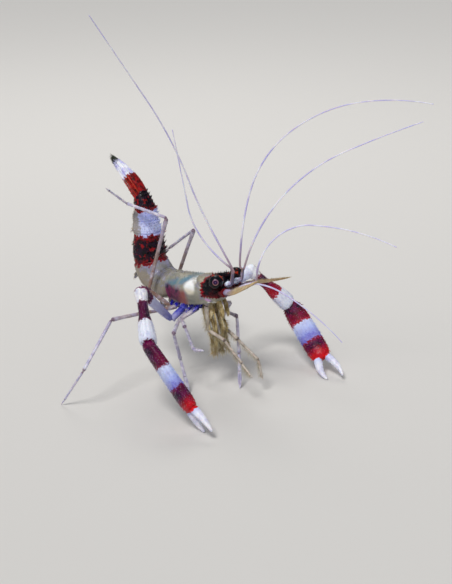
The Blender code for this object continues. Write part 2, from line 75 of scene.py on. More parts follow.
class Side(Enum):
    """Left or right side of the animal, with the sign of its Y."""

    RIGHT = -1
    LEFT = 1

    @property
    def label(self) -> str:
        """Ending of a piece's name."""
        return self.name.lower()


class Slot(Enum):
    """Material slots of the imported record."""

    CLEAR = "shell_clear"
    RED = "shell_red"
    WHITE = "shell_white"
    LILAC = "leg_lilac"
    TAN = "setose_tan"
    FEELER = "feeler"
    EYE = "eye_black"


# Directions and curves

def heading(yaw: float, pitch: float) -> Vector:
    """Unit vector that points along a yaw and a pitch."""
    level = cos(radians(pitch))
    return Vector((level * cos(radians(yaw)), level * sin(radians(yaw)), sin(radians(pitch))))


def mirrored(point: Sequence[float], side: Side) -> Vector:
    """A left-side point moved to the given side."""
    return Vector((point[0], point[1] * side.value, point[2]))


def walk(start: Vector, steps: Iterable[Triple]) -> list[Vector]:
    """Points reached from start by steps of (length, yaw, pitch)."""
    points = [Vector(start)]
    for length, yaw, pitch in steps:
        points.append(points[-1] + heading(yaw, pitch) * length)
    return points


def strung(start: Sequence[float], *parts: tuple[Array, Sequence[float]]) -> Array:
    """Points at start plus the distances of each part along the direction of that part."""
    return np.array(start, float) + sum(np.outer(far, np.array(way, float)) for far, way in parts)


def ring(count: int, start: float = 0.0) -> list[float]:
    """Evenly spaced turns in radians."""
    return [2 * pi * k / count + start for k in range(count)]


def eased(places: Array, low: float, high: float) -> Array:
    """Smooth step from 0 at low to 1 at high."""
    share = np.clip((places - low) / (high - low), 0.0, 1.0)
    return share * share * (3.0 - 2.0 * share)


def bell(values: Array, centre: float, width: float) -> Array:
    """Bell curve of height 1."""
    return np.exp(-((values - centre) / width) ** 2)


def through(stations: Table, places: Array) -> Array:
    """Values on a smooth curve that never overshoots its stations.

    Args:
        stations: rows of (place, value, value, ...), in order of place.
        places: where the values are wanted.

    Returns:
        A row of values for each place, or one number where a station has only one value.
    """
    table = np.array(stations, float)
    x, y = table[:, 0], table[:, 1:]
    step = np.diff(x)[:, None]
    slope = np.diff(y, axis=0) / step
    tangent = np.zeros_like(y)
    before, after = slope[:-1], slope[1:]
    same = before * after > 0
    tangent[1:-1] = np.where(same, 2 * before * after / np.where(same, before + after, 1.0), 0.0)
    tangent[0], tangent[-1] = slope[0], slope[-1]
    i = np.clip(np.searchsorted(x, places, side="right") - 1, 0, len(x) - 2)
    t = ((places - x[i]) / step[i, 0])[:, None]
    h = step[i]
    rows = (y[i] * (1 + 2 * t) * (1 - t) ** 2 + tangent[i] * h * t * (1 - t) ** 2
            + y[i + 1] * t * t * (3 - 2 * t) + tangent[i + 1] * h * t * t * (t - 1))
    return rows if y.shape[1] > 1 else rows[:, 0]


def rounded_path(points: Sequence[Vector], count: int) -> Array:
    """Evenly counted points on a Catmull-Rom curve through points."""
    knots = [points[0] * 2 - points[1], *points, points[-1] * 2 - points[-2]]
    result = []
    for place in np.linspace(0.0, len(points) - 1, count):
        i = min(int(place), len(points) - 2)
        t = place - i
        a, b, c, d = knots[i:i + 4]
        result.append(0.5 * (
            b * 2 + (c - a) * t + (a * 2 - b * 5 + c * 4 - d) * t * t + (b * 3 - a - c * 3 + d) * t ** 3))
    return np.array(result)


def section_axes(run: Vector, roll: float) -> tuple[Vector, Vector]:
    """Width and thickness directions of a flattened segment, turned about its run by roll degrees."""
    level = Vector((0, 0, 1)).cross(run).normalized()
    width = level * cos(radians(roll)) + run.cross(level) * sin(radians(roll))
    return width, run.cross(width)


def carried_axes(path: Array, first: Vector) -> tuple[Array, Array]:
    """Side and up directions along a path, carried along it without twist."""
    run = np.gradient(path, axis=0)
    run /= np.linalg.norm(run, axis=1)[:, None]
    side = np.zeros_like(run)
    here = np.array(first, float)
    for i, along in enumerate(run):
        here = here - along * here.dot(along)
        here /= np.linalg.norm(here)
        side[i] = here
    return side, np.cross(side, run)


def to_floor(start: Vector, run: Vector, height: float) -> Vector:
    """The point at the given height above the floor on a straight line that leaves start."""
    return start + run * ((start.z - height) / -run.z)


# Scene helpers

def put(name: str, data: bpy.types.ID) -> Object:
    """A new object in the scene."""
    obj = bpy.data.objects.new(name, data)
    bpy.context.scene.collection.objects.link(obj)
    return obj


def carry(mesh: bpy.types.Mesh, key: str, values: Array) -> None:
    """Store a number, or a vector, for each point of a mesh."""
    kind, member = ("FLOAT_VECTOR", "vector") if values.ndim > 1 else ("FLOAT", "value")
    mesh.attributes.new(key, kind, "POINT").data.foreach_set(member, values.astype(np.float32).ravel())


@dataclass
class Place:
    """Where the animal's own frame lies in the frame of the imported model."""

    shift: Vector

    @classmethod
    def measured(cls) -> "Place":
        """The shift read from the mouth brush, whose size in its own frame is known."""
        low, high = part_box("mouth_brush_left")
        foremost_back, middle = -6.5, 0.85
        return cls(Vector((low.x / MM - foremost_back, (low.y + high.y) / 2 / MM - middle, 0.0)))

    def mesh(self, name: str, points: Array, edges: Sequence = (), faces: Sequence = ()) -> bpy.types.Mesh:
        """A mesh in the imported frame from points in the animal's frame."""
        mesh = bpy.data.meshes.new(name)
        mesh.from_pydata(((points + np.array(self.shift)) * MM).tolist(), edges, faces)
        return mesh


# Lofted surfaces and planted roots

@dataclass
class Grid:
    """A closed loft: rows of points round a run, and the place of each row and column."""

    points: Array
    places: Array
    turns: Array

    def root(self, share: float, turn: float) -> tuple[Vector, Vector, Vector, float]:
        """A point of the surface.

        Args:
            share: 0 at the first row and 1 at the last.
            turn: angle round the section, in radians from its upper side.

        Returns:
            The point, the outward direction, the direction of the run and the row's place.
        """
        rows, columns = self.points.shape[:2]
        i = min(max(share, 0.0), 1.0) * (rows - 1)
        low = min(int(i), rows - 2)
        j = (turn / (2 * pi)) % 1.0 * columns
        near, far = int(j) % columns, (int(j) + 1) % columns
        u, v = i - low, j - int(j)
        corners = self.points[[low, low, low + 1, low + 1], [near, far, near, far]]
        point = Vector(np.array([(1 - u) * (1 - v), (1 - u) * v, u * (1 - v), u * v]) @ corners)
        run = Vector(corners[2] + corners[3] - corners[0] - corners[1]).normalized()
        out = Vector(corners[1] + corners[3] - corners[0] - corners[2]).cross(run).normalized()
        if out.dot(point - Vector(self.points[low].mean(axis=0))) < 0:
            out.negate()
        return point, out, run, float(self.places[low] * (1 - u) + self.places[low + 1] * u)


def sweep(centres: Array, across: Sequence, up: Sequence, half_widths: Array, heights: Array, depths: Array,
          places: Array, sides: int, relief: Relief | None = None, boxiness: float = 1.0) -> Grid:
    """Loft egg-shaped sections along a run.

    Args:
        centres: centre of each section.
        across: width direction, or one for each section.
        up: direction of the upper side, or one for each section.
        half_widths: half width of each section.
        heights: height of each section above its centre.
        depths: depth of each section below its centre.
        places: place of each section along the piece, which its markings follow.
        sides: points round a section.
        relief: millimetres to add outwards, from the places, the turns and the points.
        boxiness: 1 for an oval; less for a squarer section.

    Returns:
        The lofted grid.
    """
    across, up = (np.broadcast_to(np.asarray(way, float), (len(places), 3))[:, None, :]
                  for way in (across, up))
    turns = 2 * pi * np.arange(sides) / sides
    wide, tall = (np.sign(wave) * np.abs(wave) ** boxiness for wave in (np.sin(turns), np.cos(turns)))
    reach = np.where(tall > 0, heights[:, None], depths[:, None])
    spread = np.broadcast_to(half_widths[:, None], reach.shape)
    points = centres[:, None, :] + across * (spread * wide)[..., None] + up * (reach * tall)[..., None]
    if relief is not None:
        out = (across * (wide / np.maximum(spread, 1e-3))[..., None]
               + up * (tall / np.maximum(reach, 1e-3))[..., None])
        out /= np.linalg.norm(out, axis=2)[..., None]
        signed = np.where(turns > pi, turns - 2 * pi, turns)
        rows, columns = np.broadcast_arrays(places[:, None], signed[None, :])
        points = points + out * relief(rows, columns, points)[..., None]
    return Grid(points, places, turns)


def ripple(points: Array, size: float, seed: float = 0.0) -> Array:
    """Smooth uneven waves between -1 and 1, about size millimetres long."""
    x, y, z = (points[..., i] * (2 * pi / size) for i in range(3))
    waves = (np.sin(x + 1.7 * np.sin(y * 0.7 + seed) + seed),
             np.sin(y * 1.1 + 1.9 * np.sin(z * 0.6) + 2 * seed),
             np.sin(z * 0.9 + 1.6 * np.sin(x * 0.8) + 3 * seed))
    return sum(waves) / 3.0


class Form:
    """Collects lofts into one mesh that carries the values its markings follow."""

    def __init__(self) -> None:
        """An empty form."""
        self.points: list[Array] = []
        self.faces: list[tuple[int, ...]] = []
        self.values: dict[str, list[Array]] = {"band": [], "back": [], "flank": []}
        self.count = 0

    def add(self, grid: Grid) -> Grid:
        """Take in a loft, close its two ends, and hand it back for roots to be planted on it."""
        rows, columns = grid.points.shape[:2]
        start = self.count
        self.points += [grid.points.reshape(-1, 3), grid.points[[0, -1]].mean(axis=1)]
        self.values["band"] += [np.repeat(grid.places, columns), grid.places[[0, -1]]]
        self.values["back"] += [np.tile(np.cos(grid.turns), rows), np.zeros(2)]
        self.values["flank"] += [np.tile(np.sin(grid.turns), rows), np.zeros(2)]
        self.count += rows * columns + 2
        last = start + (rows - 1) * columns
        for i in range(columns):
            j = (i + 1) % columns
            self.faces += [(row + i, row + j, row + columns + j, row + columns + i)
                           for row in range(start, last, columns)]
            self.faces += [(start + j, start + i, self.count - 2), (last + i, last + j, self.count - 1)]
        return grid

    def loft(self, *sizes: object) -> Grid:
        """Sweep a loft with the given sizes, and take it in."""
        return self.add(sweep(*sizes))

    def build(self, name: str, place: Place) -> Object:
        """The finished mesh object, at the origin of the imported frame."""
        mesh = place.mesh(name, np.vstack(self.points), (), self.faces)
        for key, parts in self.values.items():
            carry(mesh, key, np.concatenate(parts))
        bm = bmesh.new()
        bm.from_mesh(mesh)
        bmesh.ops.recalc_face_normals(bm, faces=bm.faces)
        bm.to_mesh(mesh)
        bm.free()
        mesh.shade_smooth()
        return put(name, mesh)


class Roots:
    """Places where spines or bristles grow, with the way each one points and leans."""

    CELLS = 8
    MARGIN = 0.06

    def __init__(self, seed: int) -> None:
        """No roots yet, and the start of the random draws."""
        self.random = np.random.default_rng(seed)
        self.rows: list[tuple] = []
        self.cell = 0

    def new_patch(self) -> None:
        """Start the next patch of skin on the map of roots."""
        self.cell += 1

    def plant(self, grid: Grid, share: float, turn: float, aim: Pair | Triple, size: float,
              scatter: float = 0.08, sink: float = 0.03) -> None:
        """Plant one root on a loft.

        Args:
            grid: the loft.
            share: place along it, from 0 to 1.
            turn: angle round it in radians.
            aim: how far it points outwards, along the run and, if it does, round the section.
            size: size beside the others.
            scatter: how unevenly it points.
            sink: millimetres that the root lies below the surface.
        """
        point, out, run, place = grid.root(share, turn)
        wander = Vector(self.random.normal(0.0, scatter, 3))
        outward, along, around = (*aim, 0.0)[:3]
        direction = (out * outward + run * along + run.cross(out) * around + wander).normalized()
        lean = run - direction * run.dot(direction)
        if lean.length < 0.05:
            lean = out - direction * out.dot(direction)
        column, row = self.cell % self.CELLS, self.cell // self.CELLS % self.CELLS
        u, v = ((cell + self.MARGIN + (1.0 - 2.0 * self.MARGIN) * part) / self.CELLS
                for cell, part in ((column, (turn / (2 * pi)) % 1.0), (row, share)))
        self.rows.append((*(point - out * sink), *direction, *lean.normalized(), u, v, 0.0, size, place,
                          cos(turn), sin(turn)))

    def fringe(self, grid: Grid, shares: Pair, turns: Sequence[float], count: int,
               aim: Pair | Triple, size: float | tuple[float, ...], scatter: float = 0.08,
               wobble: float = 0.06) -> None:
        """Plant rows of roots along a loft.

        Args:
            grid: the loft.
            shares: first and last place along it.
            turns: angle of each row in radians.
            count: roots in each row.
            aim: how far they point outwards, along the run and, if they do, round the section.
            size: their size, or the sizes at the row's start and end and the swell between them.
            scatter: how unevenly they point.
            wobble: how far a root strays from its row, in radians.
        """
        start, end, swell = (*size, 0.0)[:3] if isinstance(size, tuple) else (size, size, 0.0)
        for turn in turns:
            for i in range(count):
                share = (i + 0.5 + self.random.uniform(-0.35, 0.35)) / count
                stray = self.random.normal(0.0, wobble)
                here = start + (end - start) * share + swell * sin(pi * share)
                self.plant(grid, shares[0] + (shares[1] - shares[0]) * share, turn + stray, aim,
                           here * self.random.uniform(0.75, 1.15), scatter)

    def mesh(self, name: str, place: Place) -> bpy.types.Mesh:
        """Loose points that carry what the spines need to know."""
        table = np.array(self.rows, float)
        mesh = place.mesh(name, table[:, 0:3])
        for key, first in (("aim", 3), ("lean", 6), ("root_map", 9)):
            carry(mesh, key, table[:, first:first + 3])
        for key, column in (("size", 12), ("band", 13), ("back", 14), ("flank", 15)):
            carry(mesh, key, table[:, column])
        return mesh


# Node trees

def joined(operation: str, swapped: bool = False) -> Callable[["Value", object], "Value"]:
    """An operator of Value that lays out a Math node."""
    def method(self: "Value", other: object) -> "Value":
        """Result of the Math node."""
        return self.bench.maths(operation, *((other, self) if swapped else (self, other)))
    return method


class Value:
    """What comes out of a node; numbers can be joined in plain sums."""

    __add__, __sub__, __rsub__ = joined("ADD"), joined("SUBTRACT"), joined("SUBTRACT", True)
    __mul__, __truediv__, __pow__ = joined("MULTIPLY"), joined("DIVIDE"), joined("POWER")

    def __init__(self, bench: "Bench", socket: bpy.types.NodeSocket) -> None:
        """Hold a socket and the bench that it came from."""
        self.bench, self.socket = bench, socket

    def __abs__(self) -> "Value":
        """Size without its sign."""
        return self.bench.maths("ABSOLUTE", self)


class Bench:
    """Lays out the nodes of one tree."""

    def __init__(self, tree: bpy.types.NodeTree) -> None:
        """Take the tree."""
        self.tree = tree

    def link(self, source: object, target: bpy.types.NodeSocket) -> None:
        """Link what comes out of a node, or set a plain value."""
        if isinstance(source, Value):
            self.tree.links.new(source.socket, target)
        else:
            target.default_value = source

    def node(self, kind: str, **choices: object) -> bpy.types.Node:
        """A new node; capitalised choices are inputs, with _ for a space, and the others are settings."""
        node = self.tree.nodes.new(kind)
        for key, choice in choices.items():
            if key[0].isupper():
                self.link(choice, node.inputs[key.replace("_", " ")])
            else:
                setattr(node, key, choice)
        return node

    def out(self, kind: str, output: int | str = 0, **choices: object) -> Value:
        """What comes out of a new node, at its first output unless another is given."""
        return Value(self, self.node(kind, **choices).outputs[output])

    def maths(self, operation: str, *terms: object) -> Value:
        """Result of a Math node."""
        node = self.node("ShaderNodeMath", operation=operation)
        for socket, term in zip(node.inputs, terms):
            self.link(term, socket)
        return Value(self, node.outputs[0])


class Tree(Bench):
    """A Geometry Nodes tree whose inputs are sizes, and the material."""

    NAME = ""
    INPUTS: dict[str, float] = {}

    def __init__(self) -> None:
        """Make the tree with its named inputs, and assemble it."""
        super().__init__(bpy.data.node_groups.new(self.NAME, "GeometryNodeTree"))
        asked = {"Geometry": "Geometry", "Material": "Material"}
        asked.update({name: type(default).__name__.title() for name, default in self.INPUTS.items()})
        for name, kind in asked.items():
            socket = self.tree.interface.new_socket(name, in_out="INPUT", socket_type=f"NodeSocket{kind}")
            if name in self.INPUTS:
                socket.default_value = self.INPUTS[name]
        self.tree.interface.new_socket("Geometry", in_out="OUTPUT", socket_type="NodeSocketGeometry")
        self.entry = self.node("NodeGroupInput")
        real = self.out("GeometryNodeRealizeInstances", Geometry=self.assembled())
        smooth = self.out("GeometryNodeSetShadeSmooth", Geometry=self.mapped(real))
        dressed = self.out("GeometryNodeSetMaterial", Geometry=smooth, Material=self.given("Material"))
        self.node("NodeGroupOutput", Geometry=dressed)

    def assembled(self) -> Value:
        """Lay out the tree's own nodes, and hand back their shapes."""
        raise NotImplementedError

    def mapped(self, real: Value) -> Value:
        """The real shapes with their map, where they need one."""
        return real

    def given(self, name: str) -> Value:
        """The named input inside the tree."""
        return Value(self, self.entry.outputs[name])

    def named(self, name: str, kind: str) -> Value:
        """A named attribute."""
        return self.out("GeometryNodeInputNamedAttribute", "Attribute", data_type=kind, Name=name)

    def store(self, geometry: Value, name: str, kind: str, domain: str, value: object) -> Value:
        """Geometry with a named attribute stored on it."""
        return self.out("GeometryNodeStoreNamedAttribute", data_type=kind, domain=domain, Geometry=geometry,
                        Name=name, Value=value)

    def made(self, name: str, mesh: bpy.types.Mesh, **values: object) -> Object:
        """Run the tree on a mesh.

        Args:
            name: name of the piece.
            mesh: what the tree works on.
            values: the tree's inputs, with an underscore for a space; lengths are in metres.

        Returns:
            The piece, a plain mesh.
        """
        base = put(f"{name}_base", mesh)
        modifier = base.modifiers.new(self.NAME, "NODES")
        modifier.node_group = self.tree
        for item in self.tree.interface.items_tree:
            key = item.name.replace(" ", "_")
            if item.in_out == "INPUT" and key in values:
                modifier[item.identifier] = values[key]
        bpy.context.view_layer.update()
        graph = bpy.context.evaluated_depsgraph_get()
        result = bpy.data.meshes.new_from_object(base.evaluated_get(graph), preserve_all_data_layers=True,
                                                 depsgraph=graph)
        base.modifiers.clear()
        bpy.data.objects.remove(base, do_unlink=True)
        result.name = name
        return put(name, result)


class PlantingTree(Tree):
    """Grows a tapering, bent spine or bristle from each root."""

    NAME = "Planting"
    INPUTS = {"Length": 1.0 * MM, "Thickness": 0.1 * MM, "Curl": 0.2, "Sides": 5, "Segments": 4,
              "Variation": 0.2, "Patch": 0.003, "Seed": 1}

    def spine(self) -> Value:
        """One spine of unit radius and height, bent towards +X."""
        cone = self.node("GeometryNodeMeshCone", Vertices=self.given("Sides"), Radius_Top=0.0, Depth=1.0,
                         Side_Segments=self.given("Segments"), Radius_Bottom=1.0).outputs
        height = self.out("ShaderNodeSeparateXYZ", "Z", Vector=self.out("GeometryNodeInputPosition"))
        shape = self.store(Value(self, cone["Mesh"]), "tip", "FLOAT", "POINT", height)
        patch = self.out("ShaderNodeVectorMath", operation="SCALE", Vector=Value(self, cone["UV Map"]),
                         Scale=self.given("Patch"))
        shape = self.store(shape, "local_patch", "FLOAT_VECTOR", "CORNER", patch)
        bend = self.given("Curl") * (self.given("Length") / self.given("Thickness")) * height ** 2.0
        offset = self.out("ShaderNodeCombineXYZ", X=bend)
        return self.out("GeometryNodeSetPosition", Geometry=shape, Offset=offset)

    def assembled(self) -> Value:
        """Stand a spine on each root, turned to its aim and leaning its way."""
        turn = self.out("FunctionNodeAlignRotationToVector", axis="Z",
                        Vector=self.named("aim", "FLOAT_VECTOR"))
        turn = self.out("FunctionNodeAlignRotationToVector", axis="X", pivot_axis="Z", Rotation=turn,
                        Vector=self.named("lean", "FLOAT_VECTOR"))
        chance = self.node("FunctionNodeRandomValue", data_type="FLOAT")
        spread = self.given("Variation")
        for name, source in {"Min": 1.0 - spread, "Max": spread + 1.0, "Seed": self.given("Seed")}.items():
            self.link(source, next(s for s in chance.inputs if s.name == name and s.enabled))
        size = self.named("size", "FLOAT") * Value(self, next(s for s in chance.outputs if s.enabled))
        thick = size ** 0.6 * self.given("Thickness")
        scale = self.out("ShaderNodeCombineXYZ", X=thick, Y=thick, Z=size * self.given("Length"))
        return self.out("GeometryNodeInstanceOnPoints", Points=self.given("Geometry"), Instance=self.spine(),
                        Rotation=turn, Scale=scale)

    def mapped(self, real: Value) -> Value:
        """Lay each spine's patch at its root's place on the map of the skin."""
        spot = self.node("ShaderNodeVectorMath", operation="ADD")
        for socket, name in zip(spot.inputs, ("root_map", "local_patch")):
            self.link(self.named(name, "FLOAT_VECTOR"), socket)
        return self.store(real, "OFBake", "FLOAT2", "CORNER", Value(self, spot.outputs[0]))


class FlagellumTree(Tree):
    """A whip of many short rings along a path."""

    NAME = "Flagellum"
    INPUTS = {"Base Radius": 0.3 * MM, "Tip Radius": 0.1 * MM, "Ring Spacing": 0.4 * MM, "Ring Depth": 0.12,
              "Sides": 10}

    def assembled(self) -> Value:
        """Resample the path, swell it into rings and skin it."""
        spacing, base = self.given("Ring Spacing"), self.given("Base Radius")
        curve = self.out("GeometryNodeMeshToCurve", Mesh=self.given("Geometry"))
        curve = self.out("GeometryNodeResampleCurve", mode="LENGTH", Curve=curve, Length=spacing / 4.0)
        factor, length = (self.out("GeometryNodeSplineParameter", name) for name in ("Factor", "Length"))
        girth = base - (base - self.given("Tip Radius")) * factor ** 0.8
        wave = self.maths("PINGPONG", length, spacing / 2.0) / (spacing / 2.0)
        profile = self.out("GeometryNodeCurvePrimitiveCircle", Resolution=self.given("Sides"), Radius=1.0)
        return self.out("GeometryNodeCurveToMesh", Curve=self.store(curve, "band", "FLOAT", "POINT", factor),
                        Scale=girth * (1.0 - wave ** 3.0 * self.given("Ring Depth")), Profile_Curve=profile,
                        Fill_Caps=True)


# Finishes

def tone(code: str) -> tuple[float, float, float, float]:
    """A hex colour as linear light."""
    parts = [int(code[i:i + 2], 16) / 255 for i in (1, 3, 5)]
    return (*(p / 12.92 if p <= 0.04045 else ((p + 0.055) / 1.055) ** 2.4 for p in parts), 1.0)


class Desk(Bench):
    """Lays out the nodes of one material."""

    # sockets of the Mix node where it mixes colours: share, low, high, and the result
    MIX_INPUTS = (0, 6, 7)
    MIX_RESULT = 2

    def __init__(self, name: str, place: Place) -> None:
        """A Principled shader with nothing on it yet, and the spot on the animal in millimetres."""
        self.material = bpy.data.materials.new(name)
        self.material.use_nodes = True
        super().__init__(self.material.node_tree)
        self.tree.nodes.clear()
        self.shader = self.node("ShaderNodeBsdfPrincipled")
        self.node("ShaderNodeOutputMaterial", Surface=Value(self, self.shader.outputs[0]))
        self.body = self.moved(self.out("ShaderNodeTexCoord", "Object"), [1 / MM] * 3, -place.shift)
        split = self.node("ShaderNodeSeparateXYZ", Vector=self.body)
        self.x, self.y, self.z = (Value(self, socket) for socket in split.outputs)
        self.band = self.attribute("band")

    def moved(self, vector: Value, scale: Sequence[float], shift: Sequence[float]) -> Value:
        """A vector scaled and then shifted."""
        return self.out("ShaderNodeMapping", Vector=vector, Scale=scale, Location=shift)

    def attribute(self, name: str) -> Value:
        """A number carried by the mesh."""
        return self.out("ShaderNodeAttribute", "Fac", attribute_name=name)

    def most(self, *terms: object) -> Value:
        """The larger of two numbers."""
        return self.maths("MAXIMUM", *terms)

    def noise(self, size: float, detail: float, shift: float = 0.0, tall: float = 1.0) -> Value:
        """Uneven cloud between 0 and 1, about size millimetres long; tall below 1 stretches it upwards."""
        vector = self.moved(self.body, (1.0, 1.0, tall), (shift, shift * 0.7, shift * 1.3))
        return self.out("ShaderNodeTexNoise", Vector=vector, Scale=1.0 / size, Detail=detail, Roughness=0.55)

    def cloud(self, size: float, low: float, high: float, detail: float = 3.0, shift: float = 0.0) -> Value:
        """Soft patches where the noise passes from low to high."""
        return self.step(self.noise(size, detail, shift), low, high)

    def wander(self, size: float, reach: float, detail: float, shift: float) -> Value:
        """Noise about zero that makes an edge ragged."""
        return (self.noise(size, detail, shift) - 0.5) * reach

    def cells(self, size: float) -> Value:
        """Distance within cells about size millimetres wide."""
        return self.out("ShaderNodeTexVoronoi", Vector=self.body, Scale=1.0 / size)

    def step(self, value: object, low: float, high: float) -> Value:
        """Smooth step from 0 at low to 1 at high; it falls where low is the larger."""
        return self.out("ShaderNodeMapRange", interpolation_type="SMOOTHSTEP", Value=value,
                        From_Min=min(low, high), From_Max=max(low, high), To_Min=float(low > high),
                        To_Max=float(low <= high))

    def between(self, value: Value, low: float, high: float, soft: float) -> Value:
        """1 between two values and 0 outside them."""
        return self.step(value, low - soft, low + soft) * self.step(value, high + soft, high - soft)

    def joint(self, width: float) -> Value:
        """1 where a joint between two lengths of a limb lies."""
        return self.step(abs(self.maths("FRACT", self.band + 0.5) - 0.5), width, 0.02)

    def blob(self, centre: Pair, radii: Pair, edge: float, rough: Value) -> Value:
        """Soft spot on the flank, 1 at its centre."""
        across, tall = (self.x - centre[0]) / radii[0], (self.z - centre[1]) / radii[1]
        return self.step((across * across + tall * tall) ** 0.5 + rough, 1.0 + edge, 1.0 - edge)

    def tint(self, share: object, low: object, high: object) -> Value:
        """Mix of two colours, given as codes or as what comes out of a node."""
        node = self.node("ShaderNodeMix", data_type="RGBA")
        for index, source in zip(self.MIX_INPUTS, (share, low, high)):
            self.link(tone(source) if isinstance(source, str) else source, node.inputs[index])
        return Value(self, node.outputs[self.MIX_RESULT])

    def ramp(self, value: Value, stops: Sequence[tuple[float, str]], span: float) -> Value:
        """Colours along a value that runs from 0 to span."""
        node = self.node("ShaderNodeValToRGB", Fac=value / span)
        elements = node.color_ramp.elements
        elements.remove(elements[-1])
        for i, (place, code) in enumerate(stops):
            element = elements.new(place / span) if i else elements[0]
            element.position = place / span
            element.color = tone(code)
        return Value(self, node.outputs[0])


@dataclass(frozen=True)
class Finish:
    """A finish of the animal's surface; each kind paints its own colours."""

    name: str
    roughness: Pair = (0.22, 0.5)
    coat: float = 0.10
    shine: float = 0.22
    subsurface: float = 0.12
    grain: float = 0.35
    relief: float = 0.05
    tip: str = "#d9c9bd"
    tip_share: float = 0.25

    def paint(self, desk: Desk) -> Value:
        """Colour of the surface."""
        raise NotImplementedError

    def make(self, place: Place) -> bpy.types.Material:
        """Build the material, with its colour, gloss and bump."""
        desk = Desk(self.name, place)
        pointed = desk.step(desk.attribute("tip"), 0.35, 1.0) * self.tip_share
        fine, broad = desk.noise(self.grain, 4.0), desk.noise(self.grain * 6.0, 2.0, 3.0)
        low, high = self.roughness
        gloss = (fine * 0.6 + broad * 0.9) * (high - low) + low
        pits = desk.step(desk.cells(self.grain * 1.4), 0.0, 0.35)
        bump = desk.out("ShaderNodeBump", Strength=1.0, Distance=self.relief * MM,
                        Height=fine * 0.7 + pits * 0.5 + broad * 0.8)
        looks = {"Base Color": desk.tint(pointed, self.paint(desk), self.tip), "Normal": bump,
                 "Roughness": desk.maths("MINIMUM", gloss, 0.9), "Specular IOR Level": self.shine,
                 "Coat Weight": self.coat, "Coat Roughness": 0.12, "Subsurface Weight": self.subsurface,
                 "Subsurface Radius": (1.0, 0.55, 0.4), "Subsurface Scale": 0.6 * MM}
        for key, source in looks.items():
            desk.link(source, desk.shader.inputs[key])
        return desk.material


@dataclass(frozen=True)
class ShellFinish(Finish):
    """Carapace: clear greyish shell, a red head band painted dark as shade with a saw-toothed red margin,
    white spot and violet patch.
    """

    def clear_shell(self, desk: Desk) -> Value:
        """The see-through parts, with what lies under them showing faintly."""
        colour = desk.tint(desk.cloud(3.2, 0.35, 0.65, 4.0), "#8b8b80", "#a9a494")
        colour = desk.tint(desk.cloud(1.6, 0.5, 0.78, 5.0, 9.0) * 0.45, colour, "#74715c")
        colour = desk.tint(desk.cloud(2.4, 0.46, 0.66, 3.0, 21.0) * 0.6, colour, "#8e8aa8")
        return desk.tint(desk.step(desk.z, 27.5, 31.5) * 0.5, colour, "#a08a63")

    def patches(self, desk: Desk, colour: Value) -> Value:
        """Teal stripe, white spot, and violet patch with its orange-red front."""
        ragged = desk.wander(0.9, 1.5, 4.0, 5.0)
        reach = desk.x + 16.7
        line = reach * 0.33 + reach * reach * 0.014 + 25.6
        ends = desk.most(desk.between(desk.x, -17.6, -12.6, 0.9), desk.between(desk.x, -12.4, -8.6, 0.8))
        broken = desk.cloud(2.6, 0.36, 0.56, 3.0, 31.0) * 0.4 + 0.3
        stripe = desk.step(abs(desk.z + ragged - line), 1.5, 0.0) * ends * broken
        colour = desk.tint(stripe, colour, "#46849c")
        violet = desk.between(desk.x + ragged, -16.9, -9.6, 0.8)
        violet *= desk.between(desk.z + ragged + reach * 0.10, 21.7, 26.0, 0.8)
        deep = desk.tint(desk.cloud(0.8, 0.30, 0.62, 4.0, 2.0), "#2a0636", "#74144e")
        front = desk.step(desk.x - desk.z * 0.3 + ragged, -20.2, -17.6)
        colour = desk.tint(violet * (0.95 - front * 0.25), colour, desk.tint(front, deep, "#9c2c30"))
        spot = desk.blob((-8.3, 26.7), (1.75, 1.8), 0.34, ragged * 0.25)
        return desk.tint(spot, colour, desk.tint(desk.step(desk.z, 27.0, 25.6), "#ffffff", "#eae2cc"))

    def head(self, desk: Desk, colour: Value) -> Value:
        """Red head band, painted black as shade, with red margins, patches and small pale spots under it."""
        ragged = desk.wander(0.5, 0.9, 3.0, 7.0)
        behind = desk.x + ragged - desk.maths("PINGPONG", desk.z, 0.42) * 1.5 + desk.z * 0.05
        above = desk.z + ragged - desk.maths("PINGPONG", desk.x, 0.38) * 1.3 - desk.x * 0.02
        mask = desk.step(behind, -3.9, -3.6) * desk.step(above, 24.7, 25.0)
        margin = desk.most(desk.step(behind, -2.7, -3.6), desk.step(above, 25.8, 25.1) * 0.6)
        red = desk.tint(desk.cloud(0.8, 0.35, 0.65, 3.0, 4.0), "#4d0210", "#a80a1c")
        low_red = desk.step(desk.x * 0.5 - desk.z + desk.noise(1.3, 3.0, 12.0) * 5.0, -25.6, -24.2)
        spots = desk.cloud(0.9, 0.62, 0.70, 3.0, 15.0)
        # Painted shade: the red band is drawn near black where it lies in shade, flecked with red.
        black = desk.tint(desk.noise(1.1, 3.0), "#020104", "#0a0512")
        dark = desk.tint(desk.most(spots, low_red) * 0.8, black, "#4a0310")
        pink = desk.blob((-3.0, 24.4), (0.75, 0.45), 0.45, ragged * 1.6)
        colour = desk.tint(pink * 0.75, colour, "#d9a2dc")
        colour = desk.tint(desk.blob((-2.7, 23.4), (0.6, 0.5), 0.3, ragged), colour, "#f4f6ee")
        return desk.tint(mask, colour, desk.tint(margin, dark, red))

    def paint(self, desk: Desk) -> Value:
        """Colour of the carapace."""
        low = desk.step(desk.z + desk.noise(1.2, 3.0), 21.6, 20.2) * 0.6
        return self.head(desk, desk.tint(low, self.patches(desk, self.clear_shell(desk)), "#5656a8"))


